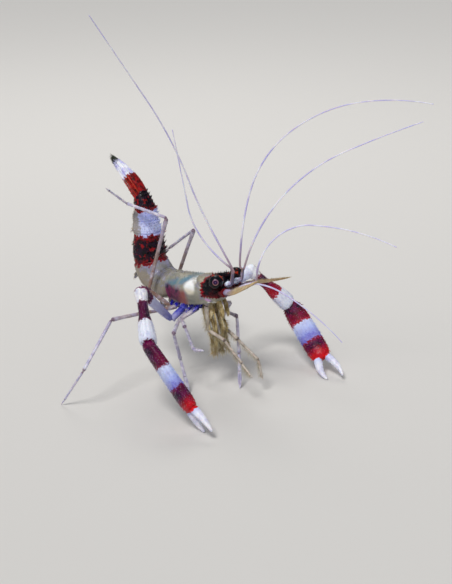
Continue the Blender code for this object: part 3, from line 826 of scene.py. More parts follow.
@dataclass(frozen=True)
class BandFinish(Finish):
    """A pale piece with ragged dark bands, red at their edges, that follow its length."""

    pale: tuple[tuple[float, str], ...] = ((0.0, "#e8e9f4"),)
    bands: Table = ()
    span: float = 5.0
    ragged: float = 0.12
    deep: str = "#1c0220"
    violet: str = "#5a0536"
    red: str = "#b00416"
    ember: str = "#e51006"
    belly: str = ""
    belly_from: float = -0.2
    rim: float = 0.35
    margin: float = 0.9
    tongues: float = 1.0
    blotch: float = 0.3
    sparkle: float = 0.35

    def paint(self, desk: Desk) -> Value:
        """Colour of the banded piece."""
        jag = desk.wander(0.55, self.ragged * 2.2, 4.0, 1.0)
        jag += desk.wander(1.8, self.ragged * self.tongues, 2.0, 19.0)
        place = desk.band + jag
        colour = desk.ramp(place, self.pale, self.span)
        colour = desk.tint(desk.cloud(1.5, 0.42, 0.68, 4.0, 6.0) * 0.45, colour, "#a9a7d6")
        if self.belly:
            low = desk.step(desk.attribute("back") + jag * 2.0, self.belly_from, self.belly_from - 0.4)
            colour = desk.tint(low * 0.85, colour, self.belly)
        flecks = desk.step(desk.cells(0.42), 0.2, 0.08) * desk.cloud(1.1, 0.45, 0.6, 2.0)
        colour = desk.tint(flecks * self.sparkle, colour, "#ffffff")
        mask, warm, rim = 0.0, 0.0, 0.0
        for start, end, warmth in self.bands:
            here = desk.between(place, start, end, self.ragged * 0.12)
            mask = desk.most(mask, here)
            glow = desk.step(place, start + (end - start) * 0.3, start + (end - start) * 0.8)
            warm = desk.most(warm, here * glow * warmth)
            near = desk.maths("MINIMUM", place - start, end - place)
            rim = desk.most(rim, here * desk.step(near, self.ragged * self.margin, 0.0))
        dark = desk.tint(desk.cloud(1.3, 0.38, 0.64, 4.0, 11.0), self.deep, self.violet)
        sides = desk.step(abs(desk.attribute("flank")) + jag * 0.8, 0.70, 1.0) * self.rim
        blotch = desk.cloud(1.1, 0.55, 0.62, 4.0, 17.0) * self.blotch
        hot = desk.most(desk.most(sides, blotch), rim * 0.8)
        dark = desk.tint(warm * (hot * 0.35 + 0.65), desk.tint(hot, dark, self.red), self.ember)
        return desk.tint(mask, colour, dark)


@dataclass(frozen=True)
class LegFinish(Finish):
    """A slender leg: clear bluish lilac, violet at the coxa, with brown joints."""

    body: str = "#b4aecb"
    pale: str = "#dedbe8"
    root: str = "#2018a4"
    joint: str = "#6b5060"
    brown: str = "#9a8a84"
    brown_share: float = 0.5
    root_end: float = 0.8

    def paint(self, desk: Desk) -> Value:
        """Colour of the leg."""
        colour = desk.tint(desk.cloud(1.4, 0.38, 0.66, 4.0), self.body, self.pale)
        upper = desk.step(desk.band, 3.4, 2.2) * desk.cloud(2.0, 0.25, 0.6, 3.0, 4.0) * self.brown_share
        colour = desk.tint(upper, colour, self.brown)
        near = desk.step(desk.band + desk.wander(0.5, 0.8, 3.0, 8.0), self.root_end, self.root_end - 0.4)
        deep = desk.tint(desk.cloud(0.6, 0.35, 0.6, 3.0, 3.0), "#0e0a5c", self.root)
        joint = desk.joint(0.06) * desk.step(desk.band, 0.5, 0.9) * 0.8
        return desk.tint(joint, desk.tint(near, colour, deep), self.joint)


@dataclass(frozen=True)
class TanFinish(Finish):
    """Bristly mouthparts and scales: clear tan with an olive cast and pale streaks."""

    dark: str = "#7a6a42"
    light: str = "#c9b68c"
    pale: str = "#e9dfc6"
    lilac: str = "#a79fae"
    lilac_end: float = 0.25
    spots: float = 0.0

    def paint(self, desk: Desk) -> Value:
        """Colour of the tan piece."""
        colour = desk.tint(desk.cloud(1.2, 0.36, 0.66, 4.0), self.dark, self.light)
        streak = desk.step(desk.noise(0.9, 3.0, 5.0, 0.35), 0.52, 0.68)
        colour = desk.tint(streak * 0.7, colour, self.pale)
        colour = desk.tint(desk.step(desk.band, self.lilac_end, 0.0) * 0.8, colour, self.lilac)
        return desk.tint(desk.joint(0.07) * self.spots, colour, "#3f2a22")


@dataclass(frozen=True)
class WhipFinish(Finish):
    """A feeler: lilac white, brownish at its root, with faint blue stretches."""

    def paint(self, desk: Desk) -> Value:
        """Colour of the feeler."""
        colour = desk.tint(desk.cloud(5.0, 0.4, 0.62), "#c9c3ec", "#f0eefb")
        colour = desk.tint(desk.cloud(7.0, 0.5, 0.7, 2.0, 9.0) * 0.5, colour, "#8f8fe0")
        return desk.tint(desk.step(desk.band, 0.16, 0.0) * 0.75, colour, "#8f6a5c")


@dataclass(frozen=True)
class EyeFinish(Finish):
    """A black eye with a painted rosy ring of reflected light round its dark middle and a painted glint at its
    front, and a red stalk painted partly black as shade.
    """

    ring: float = 0.40
    ring_width: float = 0.10

    def paint(self, desk: Desk) -> Value:
        """Colour of the eye; its band value is the angle from the front pole in radians."""
        black = desk.tint(desk.cloud(0.9, 0.4, 0.65, 3.0, 5.0), "#020205", "#06101a")
        iris = desk.tint(desk.noise(0.5, 2.0, 2.0), "#1d0a26", "#3c1846")
        colour = desk.tint(desk.step(desk.band, self.ring, self.ring - 0.12), black, iris)
        # Painted glint: a small lilac spot at the front pole.
        colour = desk.tint(desk.step(desk.band, 0.11, 0.04) * 0.35, colour, "#8f86c8")
        # Painted reflection: a rosy ring round the dark middle, beige below and violet above.
        rosy = desk.tint(desk.step(desk.z, 29.2, 30.6), "#9e7666", "#885a70")
        reflected_ring = desk.step(abs(desk.band - self.ring), self.ring_width, self.ring_width * 0.35)
        colour = desk.tint(reflected_ring * 0.95, colour, rosy)
        hot = desk.tint(desk.step(desk.z, 30.2, 31.2), "#5a0412", "#c53a14")
        # Painted shade: the red of the stalk is broken with near black.
        red = desk.tint(desk.cloud(0.8, 0.46, 0.58, 3.0, 13.0), "#0a0307", hot)
        return desk.tint(desk.step(desk.band + desk.wander(0.4, 0.35, 3.0, 0.0), 1.25, 1.5), colour, red)


@dataclass(frozen=True)
class TailFinish(Finish):
    """Tail fan: red at its root, lilac white, then dark green tips."""

    red_end: float = 0.46
    white_end: float = 0.84

    def paint(self, desk: Desk) -> Value:
        """Colour of a blade; its band value runs from 0 at the root to 1 at the tip."""
        place = desk.band + desk.wander(0.8, 0.16, 4.0, 1.0)
        white = desk.tint(desk.step(desk.noise(1.6, 4.0, 0.0, 0.5), 0.4, 0.62), "#c3c2f0", "#f6f7ff")
        blood = desk.tint(desk.cloud(0.9, 0.38, 0.62, 4.0, 7.0), "#4d0308", "#a30e14")
        blood = desk.tint(desk.step(abs(desk.attribute("flank")), 0.8, 1.0) * 0.45, blood, "#c7401c")
        tip = desk.tint(desk.noise(0.9, 3.0, 3.0), "#070b08", "#2a3620")
        colour = desk.tint(desk.step(place, self.red_end - 0.015, self.red_end + 0.015), blood, white)
        return desk.tint(desk.step(place, self.white_end - 0.05, self.white_end + 0.06), colour, tip)


# The animal's finishes.  Bands of the big claws: 0 to 1 base, 1 to 2 merus, 2 to 3 carpus, 3 to 4 palm and
# 4 to 5 fingers.

CLAW_PALE = (
    (0.0, "#100e86"), (0.6, "#1d1b98"), (1.0, "#5054ba"), (1.35, "#9b9bc8"), (1.8, "#d5dbf4"),
    (2.1, "#ffffff"), (2.7, "#f1f4ff"), (3.36, "#d4defc"), (3.52, "#b4c1f6"), (3.66, "#6b66ca"),
    (4.08, "#cfd6fa"), (4.3, "#ecedfc"), (5.0, "#f8f7fe"))
NEAR_CLAW = BandFinish(
    "near_claw_shell", pale=CLAW_PALE, ragged=0.07, sparkle=0.5, deep="#1a0020", violet="#4a0044",
    red="#7c0044", blotch=0.12, coat=0.03,
    bands=((1.74, 2.0, 0.0), (2.21, 2.60, 0.0), (2.98, 3.33, 0.1), (3.66, 4.07, 1.0)))
FAR_CLAW = replace(
    NEAR_CLAW, name="far_claw_shell", violet="#58003e", red="#a4062e", blotch=0.18,
    bands=((1.28, 1.60, 0.0), (2.16, 2.66, 0.45), (3.0, 3.37, 0.25), (3.70, 4.05, 1.0)))
ABDOMEN = BandFinish(
    "abdomen_shell", span=7.0, ragged=0.2, rim=0.0, margin=1.3, blotch=0.8, tongues=3.2, belly="#958b7c",
    belly_from=0.35, sparkle=0.6, tip="#8f8088", tip_share=0.15, deep="#040205", violet="#1c0420",
    red="#9c0610", ember="#a80c0a", bands=((2.98, 4.05, 0.0), (5.97, 7.3, 0.0)),
    pale=((0.0, "#8c887a"), (1.0, "#8a8678"), (2.0, "#8b887e"), (2.8, "#86848a"), (3.4, "#9a9cd0"),
          (3.9, "#bcc2f4"), (4.7, "#d5dcff"), (5.5, "#bcc4fa"), (7.0, "#c9ccf6")))
SHELL = ShellFinish("carapace_shell", tip="#5b4636", tip_share=0.4)
TAIL = TailFinish("tail_shell", roughness=(0.2, 0.45))
LEG = LegFinish("leg_cuticle", root_end=1.55, roughness=(0.2, 0.42), subsurface=0.25)
WALKING_LEG = replace(LEG, name="walking_leg_cuticle", root_end=1.15, brown="#8a6a58", brown_share=0.95)
MOUTHPART = TanFinish(
    "mouthpart_cuticle", dark="#8a7444", light="#c6b280", pale="#e8dcbc", roughness=(0.3, 0.55),
    subsurface=0.3)
BRISTLE = TanFinish(
    "tan_bristle", dark="#8c7444", light="#d2c294", pale="#f2ead4", lilac="#cfc6bd", roughness=(0.35, 0.6),
    subsurface=0.4, tip="#f6f0e2", tip_share=0.6)
SCALE = TanFinish(
    "scale_cuticle", dark="#ad946f", light="#c2ac86", pale="#d8c9a6", lilac="#8f8298", lilac_end=0.35,
    roughness=(0.25, 0.5), subsurface=0.35)
JAW_LEG = TanFinish(
    "jaw_leg_cuticle", dark="#a3968a", light="#c9bfb4", pale="#e2dcd4", lilac="#9d95b4", lilac_end=1.4,
    spots=0.6, roughness=(0.25, 0.5), subsurface=0.3)
STEM = BandFinish(
    "antennule_stem_shell", span=3.0, ragged=0.12, sparkle=0.6, margin=2.5, belly="#5d5878",
    bands=((-1.0, 0.45, 0.0),), pale=((0.0, "#8fa8e6"), (0.5, "#cfe2ff"), (1.2, "#eef4ff"),
                                      (1.95, "#c9bfe6"), (2.2, "#a08a94"), (3.0, "#8d7468")))
ANTENNA_STEM = BandFinish(
    "antenna_stem_shell", span=3.0, ragged=0.14, sparkle=0.6, margin=3.0, blotch=0.8, deep="#0a0206",
    violet="#2a0414", belly="#5a1422", red="#7a0614",
    pale=((0.0, "#8fa8e6"), (1.0, "#6c5a78"), (1.5, "#9a8ea6"), (2.0, "#b5a8c4"), (3.0, "#cfc8f0")),
    bands=((-1.0, 1.15, 0.1),))
WHIP = WhipFinish("feeler_cuticle", roughness=(0.3, 0.5), subsurface=0.2, grain=0.5)
EYE = EyeFinish(
    "eye_surface", roughness=(0.18, 0.32), shine=0.18, subsurface=0.0, grain=0.12, relief=0.012,
    tip_share=0.0)
PALE_HAIR = LegFinish(
    "pale_bristle", body="#cfcbe6", pale="#f4f2fb", root="#8c8cc8", brown="#cbbfb4", roughness=(0.3, 0.5),
    subsurface=0.4, tip="#ffffff", tip_share=0.5)


class Workroom:
    """What every sub-assembly needs: the place of the animal, the trees and the materials."""

    def __init__(self) -> None:
        """Measure the place and build the trees; materials are made when they are first asked for."""
        self.place = Place.measured()
        self.planting = PlantingTree()
        self.flagellum = FlagellumTree()
        self.materials: dict[str, bpy.types.Material] = {}

    def material(self, finish: Finish) -> bpy.types.Material:
        """The material of a finish."""
        if finish.name not in self.materials:
            self.materials[finish.name] = finish.make(self.place)
        return self.materials[finish.name]

    def settle(self, obj: Object, slot: Slot, *nodes: str) -> None:
        """Let a finished piece ride on the animal.

        Args:
            obj: the piece.
            slot: a material slot of the imported record; not used.
            nodes: the solids that it stands for.
        """
        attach(obj, "root")
        if nodes:
            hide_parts(*nodes)
        LOG.info("%s: %d faces", obj.name, len(obj.data.polygons))

    def shape(self, form: Form, name: str, finish: Finish, slot: Slot, *nodes: str) -> None:
        """Build a form, dress it and settle it."""
        obj = form.build(name, self.place)
        obj.data.materials.append(self.material(finish))
        self.settle(obj, slot, *nodes)

    def grow(self, name: str, roots: Roots, finish: Finish, slot: Slot, length: float, thickness: float,
             curl: float, seed: int, sides: int = 5, segments: int = 4, variation: float = 0.2) -> None:
        """Grow spines or bristles, and settle them as one piece.

        Args:
            name: name of the piece.
            roots: where they grow.
            finish: what they are dressed in.
            slot: a material slot of the imported record, handed on to settle.
            length: millimetres of one whose size is 1.
            thickness: its radius at the root, in millimetres.
            curl: how far it bends.
            seed: start of the random sizes.
            sides: points round it.
            segments: rings along it.
            variation: how uneven the sizes are.
        """
        mesh = roots.mesh(name, self.place)
        self.settle(self.planting.made(
            name, mesh, Material=self.material(finish), Length=length * MM, Thickness=thickness * MM,
            Curl=curl, Sides=sides, Segments=segments, Variation=variation, Seed=seed), slot)


# Sub-assemblies

@dataclass
class Carapace:
    """Shield over the head and thorax, with its toothed rostrum and its spines."""

    orbit: Triple = (0.3, 0.0, 28.2)
    pitch: float = 11.5
    # share of the loft, distance behind the orbit, half width, height above the axis, depth below it
    stations: Table = (
        (0.0, -1.0, 0.6, 0.7, 0.4), (0.012, -0.8, 1.3, 1.3, 1.0), (0.035, -0.2, 2.5, 2.1, 2.3),
        (0.065, 0.6, 3.2, 2.45, 3.35), (0.12, 1.8, 3.9, 2.65, 4.3), (0.27, 4.5, 4.5, 2.6, 5.4),
        (0.45, 8.0, 4.8, 2.5, 5.95), (0.64, 11.5, 4.8, 2.65, 6.0), (0.82, 14.8, 4.5, 3.0, 5.3),
        (0.93, 17.2, 4.25, 3.2, 4.7), (0.955, 17.6, 4.25, 3.2, 4.65), (0.966, 17.68, 4.1, 3.05, 4.5),
        (0.977, 17.5, 3.95, 2.9, 4.35), (0.988, 17.1, 3.8, 2.75, 4.2), (1.0, 16.9, 2.0, 1.6, 2.2))
    rows: int = 150
    sides: int = 132
    rostrum_length: float = 7.4
    eye_hollow: float = 0.55
    spine_length: float = 0.62
    hook_length: float = 1.25

    def axes(self) -> tuple[Vector, Vector]:
        """Backward and upward directions."""
        return -heading(0, self.pitch), heading(180, 90 - self.pitch)

    def relief(self, places: Array, turns: Array, points: Array) -> Array:
        """Groove, swellings, margins and grain of the shell."""
        low = np.abs(turns) / pi
        groove = 8.9 - 4.6 * eased(low, 0.0, 0.62)
        height = -0.34 * bell(places, groove, 0.42) * eased(0.72 - low, 0.0, 0.14)
        height += 0.20 * bell(places, groove - 1.3, 0.9) * eased(0.66 - low, 0.0, 0.2)
        height += 0.24 * bell(places, 17.35, 0.22) - 0.16 * bell(places, 16.75, 0.25)
        height += 0.12 * bell(places, 13.0, 3.0) * bell(low, 0.45, 0.2)
        height += 0.22 * bell(low, 0.735, 0.022) - 0.55 * eased(low, 0.75, 0.82)
        for side in Side:
            far = np.linalg.norm(points - np.array(mirrored(Eyes.centre, side)), axis=-1)
            height += 0.22 * bell(far, 2.75, 0.35) * (places < 4.5) - self.eye_hollow * bell(far, 0.0, 2.3)
        height += 0.035 * ripple(points, 1.1) + 0.02 * ripple(points, 0.47, 2.0)
        return height * eased(17.7 - places, 0.0, 0.15)

    def shell(self, form: Form) -> Grid:
        """Loft the shield, with more rows at its two ends."""
        back, up = self.axes()
        steps = np.linspace(0.0, 1.0, self.rows)
        spacing = [station[0] for station in self.stations]
        shares = np.interp(steps, np.linspace(0.0, 1.0, len(spacing)), spacing) * 0.4 + steps * 0.6
        places, widths, heights, depths = through(self.stations, shares).T
        return form.loft(strung(self.orbit, (places, back)), (0, 1, 0), up, widths, heights, depths, places,
                         self.sides, self.relief, 0.93)

    def rostrum(self, form: Form) -> Grid:
        """Loft the blade that runs forward from the top of the head."""
        back, up = self.axes()
        share = np.linspace(0.0, 1.0, 60)
        rise, behind = 0.25 * np.sin(share * pi / 2) + 2.15, 2.2 - share * self.rostrum_length
        tail = eased(share, 1.0, 0.93)
        height = 0.75 * (1 - share) + 0.14 + 0.2 * np.abs(np.sin(share * pi * 5)) * (1 - share)
        width, depth = 0.5 * (1 - 0.72 * share), 0.85 * (1 - share) + 0.14
        girths = (size * tail + 0.02 for size in (width, height, depth))
        return form.loft(strung(self.orbit, (rise, up), (behind, back)), (0, 1, 0), up, *girths,
                         -1.0 - share, 20)

    def spines(self, shell: Grid, rostrum: Grid) -> tuple[Roots, Roots]:
        """Roots of the small spines all over the shield, and of the large hooks of the head."""
        small, hooks = Roots(31), Roots(32)
        first, last = 0.10, 0.86
        for i in range(24):
            share = first + (last - first) * i / 23
            for j in range(9):
                turn = (0.10 + 0.58 * (j + 0.5 * (i % 2)) / 9) * pi
                size = (0.75 + 0.45 * (share < 0.35)) * (1.0 - 0.25 * j / 9)
                for sign in (1, -1):
                    small.plant(shell, share + small.random.normal(0, 0.006),
                                sign * turn + small.random.normal(0, 0.05), (0.75, -0.75),
                                size * small.random.uniform(0.55, 1.15), 0.12)
        for i in range(30):
            small.plant(shell, 0.09 + (last - 0.09) * (i + 0.5) / 30, small.random.normal(0, 0.03),
                        (0.8, -0.65), small.random.uniform(0.8, 1.25), 0.1)
        for sign in (1, -1):
            turn = sign * pi
            small.fringe(shell, (0.10, 0.84), [0.735 * turn], 34, (0.8, -0.55, 0.25 * sign), 0.8, 0.1, 0.01)
            small.fringe(shell, (0.878, 0.885), [0.03 * turn * k for k in range(24)], 1, (0.5, 0.9), 0.35,
                         0.08, 0.02)
            hooks.fringe(shell, (0.10, 0.30), [0.16 * turn, 0.27 * turn], 5, (0.75, -0.8), 0.8, 0.07, 0.03)
            hooks.fringe(shell, (0.09, 0.26), [0.60 * turn, 0.69 * turn], 5, (0.6, -0.8, 0.3 * sign), 0.6,
                         0.1, 0.03)
        hooks.new_patch()
        # surface, hooks, first share, spacing, turn, aim, first size, shrinking, scatter
        crest = ((shell, 5, 0.14, 0.045, 0.0, (0.9, -0.75), 0.95, 0.05, 0.04),
                 (rostrum, 6, 0.2, 0.14, 0.0, (0.85, 0.6), 1.0, 0.11, 0.03),
                 (rostrum, 3, 0.5, 0.17, pi, (0.8, 0.7), 0.45, 0.06, 0.03))
        for grid, count, start, gap, turn, aim, size, less, scatter in crest:
            for i in range(count):
                hooks.plant(grid, start + gap * i, turn, aim, size - less * i, scatter)
        return small, hooks

    def build(self, room: Workroom) -> None:
        """Make the shield and its spines."""
        form = Form()
        small, hooks = self.spines(self.shell(form), self.rostrum(form))
        room.shape(form, "carapace_shell", SHELL, Slot.CLEAR, "carapace")
        room.grow("carapace_spines", small, SHELL, Slot.CLEAR, self.spine_length, 0.085, 0.25, 41, 6, 4)
        room.grow("carapace_hooks", hooks, SHELL, Slot.CLEAR, self.hook_length, 0.19, 0.3, 42, 8, 6)


@dataclass
class Eyes:
    """Round eyes on short stalks."""

    centre = (0.0, 4.0, 30.0)
    radius: float = 1.75
    heading: Pair = (55, 14)
    stalk: float = 3.3
    neck: float = 0.62
    rows: int = 72
    sides: int = 64

    def eye(self, form: Form, side: Side) -> Grid:
        """Loft one eye with its stalk."""
        axis = heading(self.heading[0] * side.value, self.heading[1])
        across = axis.cross(Vector((0, 0, 1))).normalized()
        angles = np.linspace(0.004, pi - self.neck, self.rows)
        along, girth = self.radius * np.cos(angles), self.radius * np.sin(angles)
        tail = np.linspace(0.0, 1.0, 26)[1:]
        stalk = 1.02 + 0.12 * np.sin(tail * pi) - 0.22 * eased(tail, 0.75, 1.0)
        stalk += (girth[-1] - 1.02) * (1 - eased(tail, 0.0, 0.25))
        along = np.concatenate([along, along[-1] + (-self.stalk - along[-1]) * tail])
        girth = np.concatenate([girth, stalk])
        bands = np.concatenate([angles, pi - self.neck + tail * 1.5])

        def lid(places: Array, turns: Array, points: Array) -> Array:
            """Fold of the stalk's shell round the back of the eye."""
            return 0.10 * bell(places, 1.62, 0.10) + 0.03 * ripple(points, 0.8) * eased(places, 1.6, 1.8)

        return form.loft(strung(mirrored(self.centre, side), (along, axis)), across, across.cross(axis),
                         girth, girth, girth, bands, self.sides, lid)

    def build(self, room: Workroom) -> None:
        """Make both eyes and the spines on their stalks."""
        for side in Side:
            form, roots = Form(), Roots(50 + side.value)
            grid = self.eye(form, side)
            room.shape(form, f"eye_surface_{side.label}", EYE, Slot.EYE, f"eye_{side.label}")
            for k in range(9):
                turn = (-0.55 + 0.14 * k) * pi
                size = 0.75 + 0.25 * cos(turn)
                roots.plant(grid, 0.62 + 0.03 * (k % 2), turn, (0.75, -0.75), size, 0.1)
            for k in range(7):
                roots.plant(grid, 0.8, (-0.5 + 0.17 * k) * pi, (0.8, -0.6), 0.6, 0.1)
            room.grow(f"eye_spines_{side.label}", roots, EYE, Slot.EYE, 0.85, 0.12, 0.25, 60, 7, 5)


@dataclass
class Segment:
    """One jointed length of a limb or stem."""

    start: Vector
    end: Vector
    radii: Pair
    band: float
    flat: float = 1.0
    roll: float = 0.0
    rings: int = 0
    ring_depth: float = 0.07
    collar: float = 0.14
    rows: int = 40
    sides: int = 22
    bow: float = 0.0

    def add(self, form: Form) -> Grid:
        """Loft the segment, thin at its root and swollen at its far joint."""
        reach = self.end - self.start
        run = reach.normalized()
        across, above = section_axes(run, self.roll)
        share = np.linspace(0.0, 1.0, max(self.rows, self.rings * 7))
        share = share - 0.045 * np.sin(2 * pi * share)
        profile = through((
            (0.0, 0.22), (0.012, 0.55), (0.035, 0.78), (0.09, 0.88), (0.3, 0.94), (0.8, 1.0),
            (0.93, 1.0 + self.collar), (0.975, 1.0 + self.collar * 0.6), (0.992, 0.7), (1.0, 0.3)), share)
        radius = (self.radii[0] + (self.radii[1] - self.radii[0]) * share) * profile
        if self.rings:
            wave = np.abs(np.cos(pi * self.rings * share)) ** 5
            ends = eased(share, 0.03, 0.08), eased(1 - share, 0.02, 0.06)
            radius = radius * (1 - self.ring_depth * wave * ends[0] * ends[1])
        centres = strung(self.start, (share * reach.length, run), (self.bow * np.sin(share * pi), above))
        grain = min(self.radii) * 0.035

        def relief(places: Array, turns: Array, points: Array) -> Array:
            """Faint lengthwise ridges and unevenness."""
            return grain * (np.cos(turns * 5.0) * 0.6 + ripple(points, 1.3))

        thick = radius * self.flat
        return form.loft(centres, across, above, radius, thick, thick, self.band + share, self.sides, relief)


@dataclass
class Stems:
    """Jointed stems of the antennules and antennae."""

    # part, finish, root, steps, radii
    parts: tuple[tuple, ...] = (
        ("antennule", STEM, (0.9, 1.35, 28.6), ((2.9, 12, 28), (3.0, 18, 82)), (0.85, 0.66, 0.30)),
        ("antenna", ANTENNA_STEM, (0.4, 2.8, 27.0), ((3.6, 8, 13), (2.6, 8, 28)), (1.15, 0.9, 0.36)))

    def build(self, room: Workroom) -> None:
        """Make the four stems, each of three short lengths, with spines at their joints."""
        for side in Side:
            for part, finish, root, steps, radii in self.parts:
                ways = [(far, yaw * side.value, rise) for far, yaw, rise in steps]
                a, c, d = walk(mirrored(root, side), ways)
                b = a.lerp(c, 0.56)
                form, roots = Form(), Roots(70 + side.value)
                lengths = ((a, b, (radii[0], radii[0] * 1.02)),
                           (b - (c - b) * 0.04, c, (radii[0] * 0.96, radii[1])),
                           (c - (d - c) * 0.05, d, (radii[1] * 0.95, radii[2] * 1.25)))
                for i, length in enumerate(lengths):
                    grid = Segment(*length, float(i), flat=0.85, collar=0.07, sides=30).add(form)
                    roots.fringe(grid, (0.86, 0.9), ring(7), 1, (0.9, 0.5), 0.6, 0.1)
                    roots.fringe(grid, (0.15, 0.8), [0.3, -0.3, 1.5, -1.5], 4, (0.9, 0.4), 0.35, 0.15)
                    roots.new_patch()
                room.shape(form, f"{part}_stem_{side.label}", finish, Slot.WHITE, f"{part}_base_{side.label}")
                room.grow(f"{part}_stem_spines_{side.label}", roots, finish, Slot.WHITE, 0.6, 0.07, 0.2, 71)


@dataclass
class Scales:
    """Leaf-shaped antennal scales with a bristly inner edge."""

    # side, root, heading
    places: tuple[tuple, ...] = (
        (Side.RIGHT, (3.8, 4.3, 27.9), (-8, 29)), (Side.LEFT, (2.2, 4.6, 28.0), (19, 14)))
    length: float = 12.6
    half_width: float = 1.15
    half_thickness: float = 0.17
    roll: float = 35.0

    def scale(self, form: Form, side: Side, root: Sequence[float], way: Pair) -> Grid:
        """Loft one scale."""
        run, across = heading(*way), heading(way[0] + 90, 0)
        up = run.cross(across)
        turn, sign = radians(self.roll), side.value
        across, up = across * cos(turn) - up * sign * sin(turn), up * cos(turn) + across * sign * sin(turn)
        share = np.linspace(0.0, 1.0, 110)
        width = through(((0.0, 0.2), (0.03, 0.42), (0.12, 0.8), (0.3, 1.0), (0.55, 0.76), (0.8, 0.46),
                         (0.95, 0.22), (1.0, 0.04)), share) * self.half_width
        centres = strung(mirrored(root, side), (share * self.length, run),
                         (0.5 * sign * np.sin(share * pi), across))
        thick = self.half_thickness * (0.55 + 0.45 * eased(1 - share, 0.0, 0.5))

        def relief(places: Array, turns: Array, points: Array) -> Array:
            """Thick outer rib, a midrib and fine slanting furrows."""
            here = np.sin(turns) * sign
            rib = 0.13 * bell(here, 0.93, 0.13) + 0.10 * bell(here, 0.1, 0.10)
            furrows = 0.018 * np.sin(places * 70 + here * 9) * (np.abs(here) < 0.85)
            return (rib + furrows) * eased(1 - places, 0.0, 0.12) * eased(places, 0.0, 0.06)

        return form.loft(centres, across, up, width, thick, thick, share, 56, relief)

    def build(self, room: Workroom) -> None:
        """Make both scales, with fringe, edge teeth and end spine."""
        for side, root, way in self.places:
            form, hair, teeth = Form(), Roots(80 + side.value), Roots(83 + side.value)
            grid = self.scale(form, side, root, way)
            room.shape(form, f"antennal_scale_{side.label}", SCALE, Slot.TAN, f"antenna_scale_{side.label}")
            outer = side.value * pi / 2
            hair.fringe(grid, (0.06, 0.985), [-outer, -outer + 0.08], 84, (0.8, 0.7), (0.7, 0.45, 0.42),
                        0.05, 0.03)
            hair.fringe(grid, (0.08, 0.95), [outer], 34, (0.8, 0.7), 0.3, 0.1)
            teeth.fringe(grid, (0.25, 0.9), [outer], 9, (0.6, 0.85), 0.8, 0.05, 0.02)
            teeth.plant(grid, 0.975, outer, (0.15, 1.0), 2.0, 0.0)
            room.grow(f"antennal_scale_fringe_{side.label}", hair, BRISTLE, Slot.TAN, 1.0, 0.022, 0.18, 81,
                      4, 4)
            room.grow(f"antennal_scale_teeth_{side.label}", teeth, SCALE, Slot.TAN, 0.55, 0.08, 0.1, 82)


@dataclass
class Feelers:
    """Six long whips: two on each antennule and one on each antenna."""

    # whip, side, root, length, headings passed through at even distances
    whips: tuple[tuple, ...] = (
        ("antennule_outer", Side.RIGHT, (4.15, -2.3, 33.6), 76, ((198, 60), (255, 68), (251, 56), (251, 56))),
        ("antennule_inner", Side.RIGHT, (3.05, -1.7, 33.6), 40, ((193, 31), (242, 79), (242, 79))),
        ("antennule_outer", Side.LEFT, (4.15, 2.3, 33.6), 60, ((32, 76), (36, 51), (37, 25), (37, 20))),
        ("antennule_inner", Side.LEFT, (3.05, 1.7, 33.6), 76,
         ((95, 88), (48, 75), (22, 40), (14, 14), (12, -4))),
        ("antenna", Side.LEFT, (6.5, 4.0, 29.9), 44, ((75, 88), (24, 2), (18, -20))),
        ("antenna", Side.RIGHT, (6.7, -3.9, 29.6), 36, ((-17, 38), (3, -18), (22, -46))))
    # where a whip leaves its stem
    feet: dict[str, Triple] = field(default_factory=lambda: {
        "antennule_outer": (3.95, 2.1, 32.6), "antennule_inner": (3.65, 1.92, 32.6),
        "antenna": (6.0, 3.58, 28.95)})
    steps: int = 17
    smooth_points: int = 160
    base_radius: float = 0.28
    tip_radius: float = 0.12
    ring: float = 0.42

    def path(self, foot: Vector, root: Sequence[float], length: float, headings: Sequence[Pair]) -> Array:
        """Smooth points along a whip, out of its stem and then with a heading that changes evenly."""
        places = (np.arange(self.steps) + 0.5) / self.steps * (len(headings) - 1)
        yaws, pitches = (np.interp(places, range(len(headings)), turns) for turns in zip(*headings))
        steps = [(length / self.steps, yaw, pitch) for yaw, pitch in zip(yaws, pitches)]
        return rounded_path([foot, *walk(Vector(root), steps)], self.smooth_points)

    def build(self, room: Workroom) -> None:
        """Make the six whips."""
        for whip, side, root, length, headings in self.whips:
            points = self.path(mirrored(self.feet[whip], side), root, length, headings)
            name = f"{whip}_{side.label}"
            line = room.place.mesh(name, points, [(i, i + 1) for i in range(len(points) - 1)])
            piece = room.flagellum.made(f"{name}_whip", line, Material=room.material(WHIP),
                                        Base_Radius=self.base_radius * MM, Tip_Radius=self.tip_radius * MM,
                                        Ring_Spacing=self.ring * MM)
            room.settle(piece, Slot.FEELER, name)


